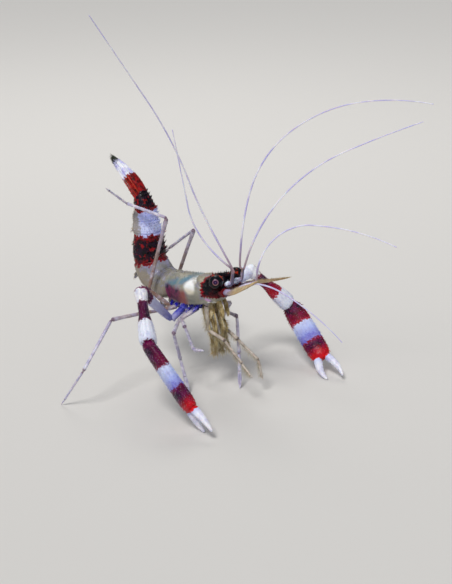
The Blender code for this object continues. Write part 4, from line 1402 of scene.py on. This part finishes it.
@dataclass
class Abdomen:
    """Six overlapping plates with their swimmerets."""

    # joint: x, z, tilt, half depth, half width
    joints: Table = (
        (-17.5, 24.5, -10, 3.8, 4.1), (-20.9, 24.0, 20, 4.3, 4.3), (-25.6, 28.7, 74, 4.2, 4.3),
        (-26.4, 36.3, 86, 3.5, 3.6), (-27.2, 39.5, 88, 3.1, 3.2), (-27.3, 42.8, 82, 2.7, 2.8),
        (-28.9, 47.2, 62, 1.9, 2.1))
    slots: tuple[Slot, ...] = (Slot.CLEAR, Slot.CLEAR, Slot.RED, Slot.WHITE, Slot.WHITE, Slot.RED)
    overlap: float = 0.55
    tuck: float = 0.7
    bulge: float = 1.05
    last_size: float = 0.70
    rows: int = 58
    sides: int = 104
    swimmeret_length: float = 3.2
    swimmeret_fold: float = 48.0

    def station(self, index: int, shift: float = 0.0) -> tuple[Vector, Vector, Vector, float, float]:
        """Centre, directions and half sizes at a joint, moved along the body by shift."""
        x, z, tilt, half_depth, half_width = self.joints[index]
        along = heading(180, tilt)
        return Vector((x, 0, z)) + along * shift, along, heading(0, 90 - tilt), half_depth, half_width

    def plate(self, form: Form, number: int) -> Grid:
        """Loft one plate; it slips under the one before it and its hind edge covers the next."""
        head, tail = self.station(number - 1), self.station(number)
        length = (tail[0] - head[0]).length
        lobes = number < 6
        low, high = -self.tuck / length, 1.0 + lobes * self.overlap / length
        last = 1.0 if lobes else self.last_size
        ends = ((0.45, 1.0), (0.7, 0.93), (0.88, 0.82), (0.96, 0.75), (1.0, self.bulge * last))
        if lobes:
            ends = ((0.5, self.bulge), (0.85, self.bulge), (high - 0.02, self.bulge - 0.01),
                    (high, self.bulge - 0.03))
        outer = np.linspace(low, high, self.rows - 10)
        share = np.concatenate([outer, np.linspace(high, high - 0.12, 10)[1:]])
        size = np.concatenate([
            through(((low, 0.80), (low * 0.4, 0.90), (0.05, 0.965), (0.2, 1.0), *ends), outer),
            (self.bulge - 0.05) * last - 0.09 * np.linspace(0, 1, 9) ** 0.5])
        belly = head[1].cross(tail[1]).length
        centres, ups = [], []
        for s in share:
            inside = min(max(s, 0.0), 1.0)
            beyond = (head[1] * min(s, 0.0) + tail[1] * max(s - 1.0, 0.0)) * length
            dorsal = head[2].lerp(tail[2], inside).normalized()
            centres.append(head[0].lerp(tail[0], inside) + beyond - dorsal * belly * 0.6 * sin(pi * inside))
            ups.append(dorsal)
        depth, width = ((head[i] + (tail[i] - head[i]) * share) * size for i in (3, 4))

        def relief(places: Array, turns: Array, points: Array) -> Array:
            """Side lobes, belly hollow, rim, cross ridges and grain."""
            here = places - number
            down = np.abs(turns) / pi
            lobe = 0.42 * bell(down, 0.64, 0.10) * np.sin(pi * np.clip(here * 0.95 + 0.02, 0, 1)) ** 0.6
            rim = 0.06 * bell(here, high - 0.07, 0.03) - 0.04 * bell(here, high - 0.15, 0.04)
            ridges = 0.05 * np.sin(here * 26.0) * bell(here, 0.25, 0.25) * (down < 0.6)
            grain = 0.03 * ripple(points, 0.9, number) + 0.02 * ripple(points, 0.4, number)
            return (lobe - 0.55 * eased(down, 0.72, 0.80)) * lobes + rim * (down < 0.74) + ridges + grain

        return form.loft(np.array(centres), (0, 1, 0), np.array(ups), width, depth * 0.97, depth,
                         number + share, self.sides, relief, 0.96)

    def swimmeret(self, form: Form, roots: Roots, number: int, side: Side) -> None:
        """Loft a short stalk with two overlapping paddles, and plant their fringe."""
        centre, along, dorsal, half_depth, half_width = self.station(number, -1.3)
        size = half_depth / 4.2
        root = centre - dorsal * (half_depth * 0.72) + Vector((0, side.value * half_width * 0.42, 0))
        share = np.linspace(0.0, 1.0, 34)
        width = through(((0.0, 0.25), (0.08, 0.42), (0.22, 0.45), (0.32, 0.7), (0.6, 0.88), (0.88, 0.55),
                         (1.0, 0.05)), share) * size
        thick = through(((0.0, 0.25), (0.2, 0.32), (0.35, 0.13), (0.9, 0.08), (1.0, 0.03)), share)
        for turn, reach, outward in ((-6, 1.0, 0.3), (8, 0.86, -0.25)):
            fold = radians(self.swimmeret_fold + turn)
            run = (-along * cos(fold) - dorsal * sin(fold)).normalized()
            centres = strung(root, (share * self.swimmeret_length * size * reach, run),
                             (outward * side.value * size * share, (0, 1, 0)))
            grid = form.loft(centres, (0, 1, 0), run.cross(Vector((0, 1, 0))).normalized(), width, thick,
                             thick, number + 0.5 + share * 0.2, 22)
            roots.fringe(grid, (0.35, 0.98), EDGES, 26, (0.7, 0.85), (0.6, 1.1), 0.08, 0.1)
            roots.new_patch()

    def plant_spines(self, spines: Roots, grid: Grid, number: int) -> None:
        """Plant the rows of spines of one plate, and the short ones along its hind edge."""
        hind = number > 2
        rows = 5 if hind else 3
        for row in range(rows):
            for k in range(15):
                turn = (-0.52 + 1.04 * k / 14 + 0.03 * (row % 2)) * pi
                size = (0.55 + 1.0 * max(cos(turn), 0.0) if hind else 0.45) * spines.random.uniform(0.7, 1.2)
                spines.plant(grid, 0.22 + 0.56 * row / (rows - 1), turn + spines.random.normal(0, 0.05),
                             (0.85, 0.6), size * (1.5 if number == 3 else 1.0), 0.1)
        spines.fringe(grid, (0.80, 0.82), [(-0.7 + 1.4 * k / 27) * pi for k in range(28)], 1, (0.45, 0.9),
                      0.45, 0.08, 0.02)
        spines.new_patch()

    def build(self, room: Workroom) -> None:
        """Make the plates, their spines, the swimmerets and their fringes."""
        spines, fringe, down = Roots(90), Roots(91), Roots(92)
        for number, slot in enumerate(self.slots, 1):
            form = Form()
            grid = self.plate(form, number)
            self.plant_spines(spines, grid, number)
            turns = [sign * (0.60 + 0.04 * k) * pi for k in range(4) for sign in (1, -1)]
            down.fringe(grid, (0.15, 0.78), turns, 16, (0.8, 0.4), 0.8, 0.2)
            down.new_patch()
            for side in Side if number < 6 else ():
                self.swimmeret(form, fringe, number, side)
            room.shape(form, f"abdomen_plate_{number}", ABDOMEN, slot, f"pleon_{number}")
        room.grow("abdomen_spines", spines, ABDOMEN, Slot.RED, 0.62, 0.11, 0.22, 93, 6, 4)
        room.grow("swimmeret_fringes", fringe, BRISTLE, Slot.TAN, 0.9, 0.018, 0.18, 94, 4, 4)
        room.grow("abdomen_down", down, BRISTLE, Slot.TAN, 0.7, 0.026, 0.3, 95, 4, 3)


@dataclass
class TailFan:
    """Telson and the two blades on each side of it."""

    pitch: float = 37.0
    inset: float = 1.6
    arch: float = 0.85
    # name, side, sideways place of the root, depth below the telson, lean in, lean up, roll, length,
    # half width, thickness
    blades: tuple[tuple, ...] = (
        ("telson", None, 0.0, 0.0, 0, 0, 0, 12.4, 1.62, 0.5),
        ("uropod_inner", Side.RIGHT, 0.9, 0.55, 3, 1, 14, 12.0, 1.2, 0.26),
        ("uropod_inner", Side.LEFT, 0.9, 0.55, 3, 1, 14, 12.0, 1.2, 0.26),
        ("uropod_outer", Side.RIGHT, 1.25, 1.05, 4, 3, 30, 11.4, 1.3, 0.24),
        ("uropod_outer", Side.LEFT, 1.25, 1.05, 4, 3, 30, 11.4, 1.3, 0.24))

    def blade(self, form: Form, abdomen: Abdomen, side: Side | None, sizes: Sequence[float]) -> Grid:
        """Loft one blade; the telson has no side."""
        offset, depth, lean_in, lean_up, roll, length, half_width, thickness = sizes
        sign = side.value if side else 1
        run = heading(180 + sign * lean_in, self.pitch + lean_up)
        level = heading(90 + sign * lean_in, 0)
        above = level.cross(run)
        root = abdomen.station(6, 0.5)[0] - above * depth * 0.85
        root += Vector((0, sign * offset, 0)) - run * self.inset
        across = level * cos(radians(roll)) - above * sign * sin(radians(roll))
        share = np.linspace(0.0, 1.0, 100)
        width = through(((0.0, 0.75), (0.1, 0.98), (0.25, 1.06), (0.42, 1.0), (0.7, 0.68), (0.9, 0.34),
                         (0.97, 0.2), (1.0, 0.05)), share) * half_width
        thick = through(((0.0, 1.2), (0.15, 1.15), (0.4, 0.9), (0.8, 0.6), (1.0, 0.25)), share) * thickness
        centres = strung(root, (share * (length + self.inset), run),
                         (self.arch * np.sin(pi * share ** 0.9), above))

        def relief(places: Array, turns: Array, points: Array) -> Array:
            """Keels, a middle furrow on the telson and fine lengthwise lines."""
            here = np.sin(turns)
            keels = bell(here, 0.05, 0.12) if side else bell(np.abs(here), 0.45, 0.12)
            furrow = 0.0 if side else 0.10 * bell(here, 0.0, 0.14)
            lines = 0.08 * bell(np.abs(here), 0.95, 0.08) + 0.012 * np.sin(here * 38.0)
            return (0.16 * keels - furrow + lines) * eased(1 - places, 0.0, 0.15) * (np.cos(turns) > -0.2)

        return form.loft(centres, across, across.cross(run), width, thick, thick, share, 60, relief)

    def build(self, room: Workroom, abdomen: Abdomen) -> None:
        """Make the five blades with their spines and fringes."""
        fringe, spines = Roots(100), Roots(101)
        for part, side, *sizes in self.blades:
            form = Form()
            grid = self.blade(form, abdomen, side, sizes)
            name = f"{part}_{side.label}" if side else part
            room.shape(form, f"tail_{name}", TAIL, Slot.WHITE, name)
            fringe.fringe(grid, (0.30, 0.995), [*EDGES, pi / 2 + 0.1, -pi / 2 - 0.1], 62, (0.55, 0.95),
                          (0.55, 1.1), 0.05, 0.06)
            fringe.new_patch()
            spines.fringe(grid, (0.08, 0.85), (0.06,) if side else (0.5, -0.5), 8, (0.75, 0.8), (1.0, 0.6),
                          0.05, 0.02)
            spines.fringe(grid, (0.1, 0.9), EDGES, 10, (0.6, 0.9), 0.75, 0.06, 0.02)
            spines.new_patch()
        room.grow("tail_fringes", fringe, TAIL, Slot.WHITE, 0.95, 0.03, 0.12, 102, 4, 4)
        room.grow("tail_spines", spines, TAIL, Slot.RED, 0.7, 0.10, 0.18, 103, 6, 4)


@dataclass(frozen=True)
class LimbPlan:
    """Sizes and pose of a pair of limbs; the headings of the segments are given for right and left."""

    coxa: Triple
    lengths: tuple[float, ...]
    radii: tuple[float, ...]
    right: Table
    left: Table
    shin_rings: int = 0
    foot_rings: int = 0
    stands: bool = False
    pincer: bool = False


LIMBS = {
    "maxilliped": LimbPlan(
        (-4.4, 2.6, 22.4), (7.0, 6.5, 7.4, 5.0), (0.75, 0.52, 0.44, 0.34, 0.18),
        ((80, -86), (-8, -9), (1, -41), (-16, -27)), ((10, -86), (-6, -19), (17, -40), (-22, -65))),
    "leg1": LimbPlan(
        (-7.0, 2.6, 21.2), (5.5, 6.5, 7.0, 5.0), (0.80, 0.48, 0.44, 0.42, 0.30),
        ((-117, -27), (-40, 3), (62, -70), (-17, 16)), ((65, -12), (159, -50), (-64, -22), (155, -59)),
        pincer=True),
    "leg2": LimbPlan(
        (-9.1, 2.8, 20.8), (5.0, 8.8, 10.5, 9.2), (0.85, 0.50, 0.46, 0.42, 0.30),
        ((-125, -45), (-57, 0), (114, -59), (-17, -62)), ((74, -38), (-18, 6), (78, -86), (-47, -63)),
        stands=True, pincer=True),
    "claw": LimbPlan(
        (-11.6, 3.1, 20.2), (4.5, 16.0, 16.0, 18.6), (1.10, 0.90, 1.60, 1.90, 2.20),
        ((-110, -35), (-88, 43), (-39, -37), (3, -45)), ((92, -41), (79, 28), (53, -44), (-21, -30))),
    "leg4": LimbPlan(
        (-14.2, 3.0, 19.8), (4.8, 15.0, 15.2, 12.3), (0.75, 0.55, 0.50, 0.38, 0.22),
        ((-108, -1), (-103, 3), (-86, -42), (-165, -57)), ((106, -1), (114, -1), (131, -40), (129, -57)),
        16, 11, stands=True),
    "leg5": LimbPlan(
        (-16.0, 2.9, 19.2), (7.5, 20.0, 12.5, 8.5), (0.75, 0.55, 0.50, 0.38, 0.22),
        ((-137, 39), (42, 76), (-171, 9), (-97, 39)), ((160, 2), (4, 69), (171, -37), (163, -33)), 14, 8)}


def limb_points(limb: str, side: Side) -> list[Vector]:
    """Root inside the thorax, end of the coxa, and then the end of each segment."""
    plan, lean, coxa_length, rake = LIMBS[limb], radians(14.0), 2.6, 0.7
    coxa = mirrored(plan.coxa, side)
    root = coxa + Vector((0, -side.value * sin(lean), cos(lean))) * coxa_length + Vector((rake, 0, 0))
    ways = plan.right if side is Side.RIGHT else plan.left
    points = [root, *walk(coxa, [(length, *way) for length, way in zip(plan.lengths, ways)])]
    if plan.stands:
        points[-1] = to_floor(points[-2], (points[-1] - points[-2]).normalized(), 0.12)
    return points


@dataclass
class Leg:
    """A slender leg or a third maxilliped, in two pieces that meet at the knee."""

    limb: str
    side: Side
    finish: Finish = LEG
    slot: Slot = Slot.LILAC
    furry: bool = False

    def foot(self, form: Form, start: Vector, end: Vector, radii: Pair) -> Grid:
        """Last segment: a small pincer on the first two legs, and a hooked nail on the others."""
        reach = end - start
        side_way, flat_way = section_axes(reach.normalized(), 0.0)
        pincer, thick = LIMBS[self.limb].pincer, radii[0]
        wrist = start.lerp(end, 0.52 if pincer else 0.86)
        grid = Segment(start, wrist, (thick, thick * 0.95 if pincer else radii[1] * 1.1), 4.0,
                       rings=LIMBS[self.limb].foot_rings, flat=0.9, collar=0.10).add(form)
        share = np.linspace(0.0, 1.0, 26)
        girth = thick * (0.8 if pincer else 0.55) * (1 - 0.7 * share ** 1.6)
        for sign in (1, -1):
            spread = np.sin(share * pi) * reach.length * 0.03 * (0.5 if pincer else 0.18)
            outward = thick * (0.32 if pincer else 0.12) + spread - share ** 2 * thick * 0.3 * pincer
            tip = (end - wrist) * (1.0 if sign > 0 or pincer else 0.55)
            centres = strung(wrist, (share, tip), (outward, side_way * sign))
            form.loft(centres, side_way, flat_way, girth, girth, girth, 4.55 + share * 0.4, 14)
        return grid

    def build(self, room: Workroom) -> None:
        """Make the leg with its spines and hairs."""
        limb, label = self.limb, self.side.label
        points = limb_points(limb, self.side)
        radii = (LIMBS[limb].radii[0] * 1.05, *LIMBS[limb].radii)
        upper, lower, hair, spines = Form(), Form(), Roots(110), Roots(111)
        grids = []
        for i in range(4):
            shin = LIMBS[limb].shin_rings if i == 3 else 0
            bow, collar = (0.12, 0.22) if i == 2 else (0.0, 0.14)
            segment = Segment(points[i], points[i + 1], (radii[i], radii[i + 1]), float(i),
                              0.92 if i else 1.0, rings=shin, bow=bow, collar=collar)
            grids.append(segment.add(upper if i < 3 else lower))
        grids.append(self.foot(lower, points[4], points[5], (radii[4], radii[5])))
        room.shape(upper, f"{limb}_thigh_{label}", self.finish, self.slot, f"{limb}_upper_{label}")
        room.shape(lower, f"{limb}_shin_{label}", self.finish, self.slot, f"{limb}_lower_{label}")
        turns = [pi + (k - 2.5) * 0.36 for k in range(6)] if self.furry else ring(4, 0.3)
        for i, grid in enumerate(grids):
            hair.fringe(grid, (0.08, 0.97), turns, 30 if self.furry else 16, (0.9, 0.45), (0.7, 0.7, 0.5),
                        0.25 if self.furry else 0.15, 0.2)
            hair.new_patch()
            if i:
                spines.fringe(grid, (0.90, 0.93), ring(6), 1, (0.55, 0.85), 0.9, 0.08)
                spines.new_patch()
        if self.furry:
            room.grow(f"{limb}_bristles_{label}", hair, BRISTLE, Slot.TAN, 1.5, 0.018, 0.3, 112, 4, 4)
        else:
            room.grow(f"{limb}_hairs_{label}", hair, PALE_HAIR, Slot.LILAC, 0.62, 0.024, 0.25, 112, 4, 3)
        room.grow(f"{limb}_spines_{label}", spines, self.finish, self.slot, 0.5, 0.07, 0.15, 113)


@dataclass
class Claw:
    """The large third leg, banded and spiny, whose pincer stands on the floor."""

    side: Side
    finish: Finish
    roll: float
    moving_spread: float
    fixed_spread: float = 7.0
    finger_length: float = 7.0
    # share of the length, half width, half thickness
    carpus: Table = (
        (-0.07, 0.5, 0.5), (-0.05, 1.2, 1.1), (0.0, 1.7, 1.6), (0.08, 1.7, 1.55), (0.22, 1.25, 1.2),
        (0.42, 1.35, 1.25), (0.62, 2.05, 1.75), (0.78, 2.4, 2.0), (0.90, 2.5, 2.1), (0.955, 2.4, 2.0),
        (0.985, 1.9, 1.6), (1.0, 1.0, 0.9))
    palm: Table = (
        (-0.075, 0.6, 0.6), (-0.055, 1.3, 1.2), (-0.02, 1.8, 1.5), (0.05, 2.3, 1.6), (0.22, 2.65, 1.65),
        (0.6, 2.75, 1.75), (0.85, 2.7, 1.8), (0.96, 2.4, 1.6), (1.0, 1.8, 1.25), (1.03, 0.9, 0.7))
    carpus_reach: float = 0.97
    sides: int = 64

    def block(self, form: Form, start: Vector, reach: Vector, stations: Table, band: float,
              rows: int) -> Grid:
        """Loft a flattened segment with edge ridges and grain."""
        across, above = section_axes(reach.normalized(), self.roll)
        share = np.linspace(stations[0][0], stations[-1][0], rows)
        widths, thicks = through(stations, share).T

        def relief(places: Array, turns: Array, points: Array) -> Array:
            """Ridges along the edges and faces, small knobs and grain."""
            here = places - band
            ridges = 0.16 * bell(np.abs(np.sin(turns)), 1.0, 0.06)
            ridges += 0.12 * (bell(np.abs(turns), 0.27 * pi, 0.10) + bell(np.abs(turns), 0.73 * pi, 0.10))
            ridges += 0.05 * np.maximum(np.sin(here * 60.0) * np.sin(turns * 11.0), 0.0)
            ends = eased(here, 0.0, 0.08) * eased(1.0 - here, 0.0, 0.06)
            return ridges * ends + 0.03 * ripple(points, 1.2) + 0.02 * ripple(points, 0.5)

        return form.loft(strung(start, (share, reach)), across, above, widths, thicks, thicks,
                         band + np.clip(share, 0.0, 1.0), self.sides, relief, 0.94)

    def finger(self, form: Form, base: Vector, tip: Vector, inward: Vector, half_width: float,
               half_thickness: float, blunt: float) -> Grid:
        """Loft a finger with a toothed inner edge and a hooked point.

        Args:
            form: the form that takes it in.
            base: where the finger starts.
            tip: where it ends.
            inward: direction of the other finger.
            half_width: half width at its base.
            half_thickness: half thickness at its base.
            blunt: share of the base's size left at the tip.

        Returns:
            The lofted finger.
        """
        across, above = section_axes((tip - base).normalized(), self.roll)
        toward = 1.0 if inward.dot(across) > 0 else -1.0
        share = np.linspace(-0.08, 1.0, 74)
        inside = np.clip(share, 0.0, 1.0)
        size = through(((-0.08, 0.45), (-0.03, 0.85), (0.0, 1.0), (0.35, 0.86), (0.7, 0.58), (0.92, 0.34),
                        (0.985, 0.2), (1.0, blunt)), share)
        thick = half_thickness * size
        centres = strung(base, (share, tip - base), (0.25 * inside ** 5 - 0.5 * np.sin(inside * pi), inward))

        def relief(places: Array, turns: Array, points: Array) -> Array:
            """Teeth of the cutting edge, a furrow on each face, and grain."""
            here = places - 4.0
            teeth = np.abs(np.sin(here * 21.0)) * (1.0 - 0.6 * here) * bell(np.sin(turns) * toward, 1.0, 0.10)
            furrow = bell(np.abs(np.cos(turns)), 1.0, 0.06)
            ends = eased(here, 0.05, 0.2) * eased(1 - here, 0.02, 0.1)
            return (0.22 * teeth - 0.08 * furrow) * ends + 0.02 * ripple(points, 0.8)

        return form.loft(centres, across, above, half_width * size, thick, thick, 4.0 + inside, 40, relief)

    def arm(self, room: Workroom, points: list[Vector], spines: Roots, hair: Roots) -> None:
        """Make the base and the merus."""
        radii = (LIMBS["claw"].radii[0], *LIMBS["claw"].radii)
        hip, arm, label = Form(), Form(), self.side.label
        for i in range(2):
            grid = Segment(points[i], points[i + 1], (radii[i], radii[i + 1]), 0.5 * i, flat=0.9, sides=32,
                           collar=0.2).add(hip)
            spines.fringe(grid, (0.3, 0.95), [*EDGES, 0.0], 5, (0.7, 0.8), 0.7, 0.1)
        room.shape(hip, f"claw_hip_{label}", self.finish, Slot.LILAC, f"claw_base_{label}")
        merus = Segment(points[2], points[3], (radii[2], radii[3]), 1.0, flat=0.9, sides=44, rows=90,
                        collar=0.22, roll=self.roll).add(arm)
        room.shape(arm, f"claw_arm_{label}", self.finish, Slot.LILAC, f"claw_merus_{label}")
        spines.new_patch()
        edges = [*EDGES, 0.25 * pi, -0.25 * pi, 0.75 * pi, -0.75 * pi]
        spines.fringe(merus, (0.08, 0.97), edges, 17, (0.75, 0.75), (0.7, 1.2), 0.08, 0.03)
        spines.new_patch()
        hair.fringe(merus, (0.05, 0.97), ring(8, 0.2), 26, (0.9, 0.5), 0.6, 0.25, 0.15)
        hair.new_patch()

    def hand(self, room: Workroom, points: list[Vector], spines: Roots, hair: Roots) -> None:
        """Make the carpus, the palm with its fixed finger, and the moving finger."""
        label, (wrist, hand, thumb) = self.side.label, (Form(), Form(), Form())
        reach = (points[4] - points[3]) * self.carpus_reach
        carpus = self.block(wrist, points[3], reach, self.carpus, 2.0, 120)
        room.shape(wrist, f"claw_wrist_{label}", self.finish, Slot.RED, f"claw_carpus_{label}")
        reach = points[5] - points[4]
        run = reach.normalized()
        palm = self.block(hand, points[4], reach, self.palm, 3.0, 140)
        across, _ = section_axes(run, self.roll)
        base = points[5] - run * 0.2 - across * 1.25
        spread = radians(self.fixed_spread)
        tip = to_floor(base, run * cos(spread) - across * sin(spread), 0.14)
        fixed = self.finger(hand, base, tip, across, 1.1, 1.2, 0.1)
        room.shape(hand, f"claw_hand_{label}", self.finish, Slot.RED, f"claw_palm_{label}")
        base = points[5] + run * 0.35 + across * 1.25
        spread = radians(self.moving_spread)
        tip = base + (run * cos(spread) + across * sin(spread)) * (self.finger_length + 0.5)
        moving = self.finger(thumb, base, tip, -across, 0.98, 1.15, 0.04)
        room.shape(thumb, f"claw_thumb_{label}", self.finish, Slot.WHITE, f"claw_finger_{label}")
        for grid, count, size in ((carpus, 20, 0.9), (palm, 24, 1.0)):
            edges = [*EDGES, pi / 2 + 0.35, pi / 2 - 0.35, -pi / 2 + 0.35, -pi / 2 - 0.35]
            faces = [0.0, pi, 0.2 * pi, -0.2 * pi, 0.8 * pi, -0.8 * pi]
            spines.fringe(grid, (0.08, 0.95), edges, count, (0.8, 0.65), size, 0.08, 0.03)
            spines.fringe(grid, (0.1, 0.93), faces, count * 2 // 3, (0.85, 0.6), size * 0.6, 0.1, 0.06)
            spines.new_patch()
            hair.fringe(grid, (0.05, 0.96), ring(14), 30, (0.9, 0.45), 0.75, 0.25, 0.1)
            hair.new_patch()
        for grid in (fixed, moving):
            hair.fringe(grid, (0.12, 0.96), ring(8, 0.2), 22, (0.8, 0.6), 0.7, 0.2, 0.12)
            hair.new_patch()
            spines.fringe(grid, (0.1, 0.7), [0.3, pi - 0.3, -0.3, pi + 0.3], 5, (0.7, 0.8), 0.4, 0.1)
            spines.new_patch()

    def build(self, room: Workroom) -> None:
        """Make the whole claw."""
        label, points = self.side.label, limb_points("claw", self.side)
        spines, hair = Roots(120 + self.side.value), Roots(123 + self.side.value)
        self.arm(room, points, spines, hair)
        self.hand(room, points, spines, hair)
        room.grow(f"claw_spines_{label}", spines, self.finish, Slot.RED, 0.62, 0.12, 0.2, 126, 6, 4)
        room.grow(f"claw_hairs_{label}", hair, PALE_HAIR, Slot.WHITE, 1.1, 0.02, 0.3, 127, 4, 4)


@dataclass
class MouthBrush:
    """Bristly palps of the inner mouthparts that hang under the head."""

    # foot of the palp: x, y; then its length, yaw, pitch, curl forward and radius
    palps: Table = (
        (-3.6, 0.6, 15.6, 0, -79, -0.9, 0.30), (-4.6, 1.0, 15.2, 30, -80, 1.5, 0.34),
        (-5.8, 0.7, 15.8, 0, -77, -1.1, 0.28), (-6.8, 1.1, 15.2, 10, -72, 1.3, 0.30),
        (-7.6, 1.5, 15.8, 12, -71, 0.9, 0.32), (-8.4, 0.9, 14.8, 0, -66, -0.8, 0.32),
        (-4.0, 0.5, 11.6, 0, -76, 1.5, 0.36), (-6.2, 1.0, 11.0, 0, -76, -1.5, 0.38),
        (-2.4, 1.0, 5.6, 0, -72, 0.8, 0.75), (-4.2, 1.4, 6.6, 90, -86, 0.5, 0.95),
        (-6.0, 1.3, 5.6, 0, -84, -0.5, 0.85), (-7.6, 1.2, 4.6, 170, -84, -0.4, 0.7))
    smooth_from: int = 8
    top: float = 24.6

    def palp(self, form: Form, side: Side, row: Sequence[float]) -> Grid:
        """Loft one curved palp."""
        x, y, length, yaw, pitch, curl, radius = row
        share = np.linspace(0.0, 1.0, 46)
        sway = 0.3 * eased(share, 0.1, 0.5) * min(length / 12.0, 1.0) * np.sin(share * 10.0 + x * 3.0)
        centres = strung(mirrored((x, y, self.top), side), (share * length, heading(yaw * side.value, pitch)),
                         (curl * np.sin(share * pi * 0.9), (1, 0, 0)), (sway, (0.8, side.value * 0.6, 0)))
        across, up = carried_axes(centres, Vector((0, 1, 0)))
        girth = through(((0.0, 0.6), (0.15, 1.0), (0.33, 0.8), (0.36, 0.95), (0.6, 0.85), (0.63, 0.95),
                         (0.85, 0.6), (0.97, 0.3), (1.0, 0.08)), share) * radius

        def relief(places: Array, turns: Array, points: Array) -> Array:
            """Uneven fleshy surface."""
            return 0.05 * ripple(points, 1.0) + 0.02 * np.cos(turns * 4)

        return form.loft(centres, across, up, girth * 0.55, girth, girth, 1.0 + share * 0.8, 20, relief)

    def build(self, room: Workroom) -> None:
        """Make the palps and bristles of both sides."""
        for side in Side:
            form, hair, tatters = Form(), Roots(130 + side.value), Roots(134 + side.value)
            for i, row in enumerate(self.palps):
                grid = self.palp(form, side, row)
                if i >= self.smooth_from:
                    hair.fringe(grid, (0.5, 0.98), ring(9), 8, (0.85, 0.45), 0.6, 0.3, 0.2)
                    continue
                tatters.fringe(grid, (0.55, 0.99), ring(5), 15, (0.8, 0.45, 0.4), (0.6, 1.5), 0.75, 0.6)
                hair.fringe(grid, (0.12, 0.97), ring(6, 0.2), 26, (0.8, 0.55), (0.5, 1.1), 0.35, 0.3)
                hair.fringe(grid, (0.82, 0.995), ring(8), 9, (0.7, 0.7, 0.2), 0.9, 0.4, 0.4)
                hair.new_patch()
                tatters.new_patch()
            label = side.label
            room.grow(f"mouth_tatters_{label}", tatters, MOUTHPART, Slot.TAN, 1.0, 0.075, 1.1, 133, 6, 6, 0.5)
            room.shape(form, f"mouth_palps_{label}", MOUTHPART, Slot.TAN, f"mouth_brush_{label}")
            room.grow(f"mouth_bristles_{label}", hair, BRISTLE, Slot.TAN, 1.7, 0.022, 0.4, 131, 4, 4, 0.45)


@dataclass
class Studio:
    """Pale floor, soft lights and the camera."""

    azimuth: float = 40.0
    elevation: float = 20.0
    distance: float = 0.4
    aim_right: float = 0.0025
    aim_up: float = -0.0025
    focal_length: float = 1600.0
    frame_height: float = 584.0
    sensor: float = 36.0

    def floor(self) -> None:
        """Large pale floor."""
        mesh = bpy.data.meshes.new("floor")
        mesh.from_pydata([(-3, -3, 0), (3, -3, 0), (3, 3, 0), (-3, 3, 0)], [], [(0, 1, 2, 3)])
        material = bpy.data.materials.new("floor_paper")
        material.use_nodes = True
        shader = material.node_tree.nodes["Principled BSDF"]
        shader.inputs["Base Color"].default_value = (0.70, 0.685, 0.66, 1.0)
        shader.inputs["Roughness"].default_value = 0.85
        mesh.materials.append(material)
        put("floor", mesh)

    def light(self, name: str, kind: str, yaw: float, pitch: float, energy: float,
              colour: Triple, distance: float = 0.0, **sizes: float) -> None:
        """One soft light aimed at the animal; sizes are its own settings."""
        data = bpy.data.lights.new(name, kind)
        data.energy, data.color = energy, colour
        for key, size in sizes.items():
            setattr(data, key, size)
        toward = heading(yaw, pitch)
        lamp = put(name, data)
        lamp.location = Vector((0.0, 0.0, 0.025)) + toward * distance
        lamp.rotation_euler = toward.to_track_quat("Z", "Y").to_euler()

    def camera(self, place: Place) -> None:
        """Camera at the view of the animal's right front."""
        back = heading(self.azimuth - 90, self.elevation)
        right = heading(self.azimuth, 0)
        eye = (mirrored(Eyes.centre, Side.RIGHT) + place.shift) * MM
        data = bpy.data.cameras.new("camera")
        data.sensor_fit = "VERTICAL"
        data.sensor_height = self.sensor
        data.lens = self.sensor * self.focal_length / self.frame_height
        data.clip_start = 0.01
        camera = put("camera", data)
        camera.location = (
            eye + right * self.aim_right + back.cross(right) * self.aim_up + back * self.distance)
        camera.rotation_euler = back.to_track_quat("Z", "Y").to_euler()
        bpy.context.scene.camera = camera

    def build(self, place: Place) -> None:
        """Set up floor, lights, surroundings and camera."""
        self.floor()
        self.light("key", "SUN", -78, 56, 2.2, (1.0, 0.985, 0.965), angle=radians(20))
        self.light("fill", "AREA", -15, 25, 0.22, (0.90, 0.94, 1.0), 0.6, size=0.40)
        self.light("rim", "AREA", 140, 45, 0.4, (1.0, 0.98, 0.95), 0.45, size=0.18)
        world = bpy.data.worlds.new("surroundings")
        world.use_nodes = True
        backdrop = world.node_tree.nodes["Background"]
        backdrop.inputs["Color"].default_value = (0.80, 0.84, 0.90, 1.0)
        backdrop.inputs["Strength"].default_value = 0.26
        bpy.context.scene.world = world
        bpy.context.scene.view_settings.view_transform = "Standard"
        self.camera(place)


def main() -> None:
    """Build the animal from head to tail."""
    logging.basicConfig(level=logging.INFO, format="%(message)s")
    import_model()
    room = Workroom()
    Studio().build(room.place)
    abdomen = Abdomen()
    for assembly in (Carapace(), Eyes(), Stems(), Scales(), Feelers(), abdomen):
        assembly.build(room)
    TailFan().build(room, abdomen)
    for side in Side:
        Leg("maxilliped", side, JAW_LEG, Slot.TAN, furry=True).build(room)
        Leg("leg1", side).build(room)
        Leg("leg2", side).build(room)
        Leg("leg4", side, WALKING_LEG).build(room)
        Leg("leg5", side, WALKING_LEG).build(room)
    Claw(Side.RIGHT, NEAR_CLAW, 117.0, 16.0).build(room)
    Claw(Side.LEFT, FAR_CLAW, 32.0, 9.0).build(room)
    MouthBrush().build(room)


if __name__ == "__main__":
    main()
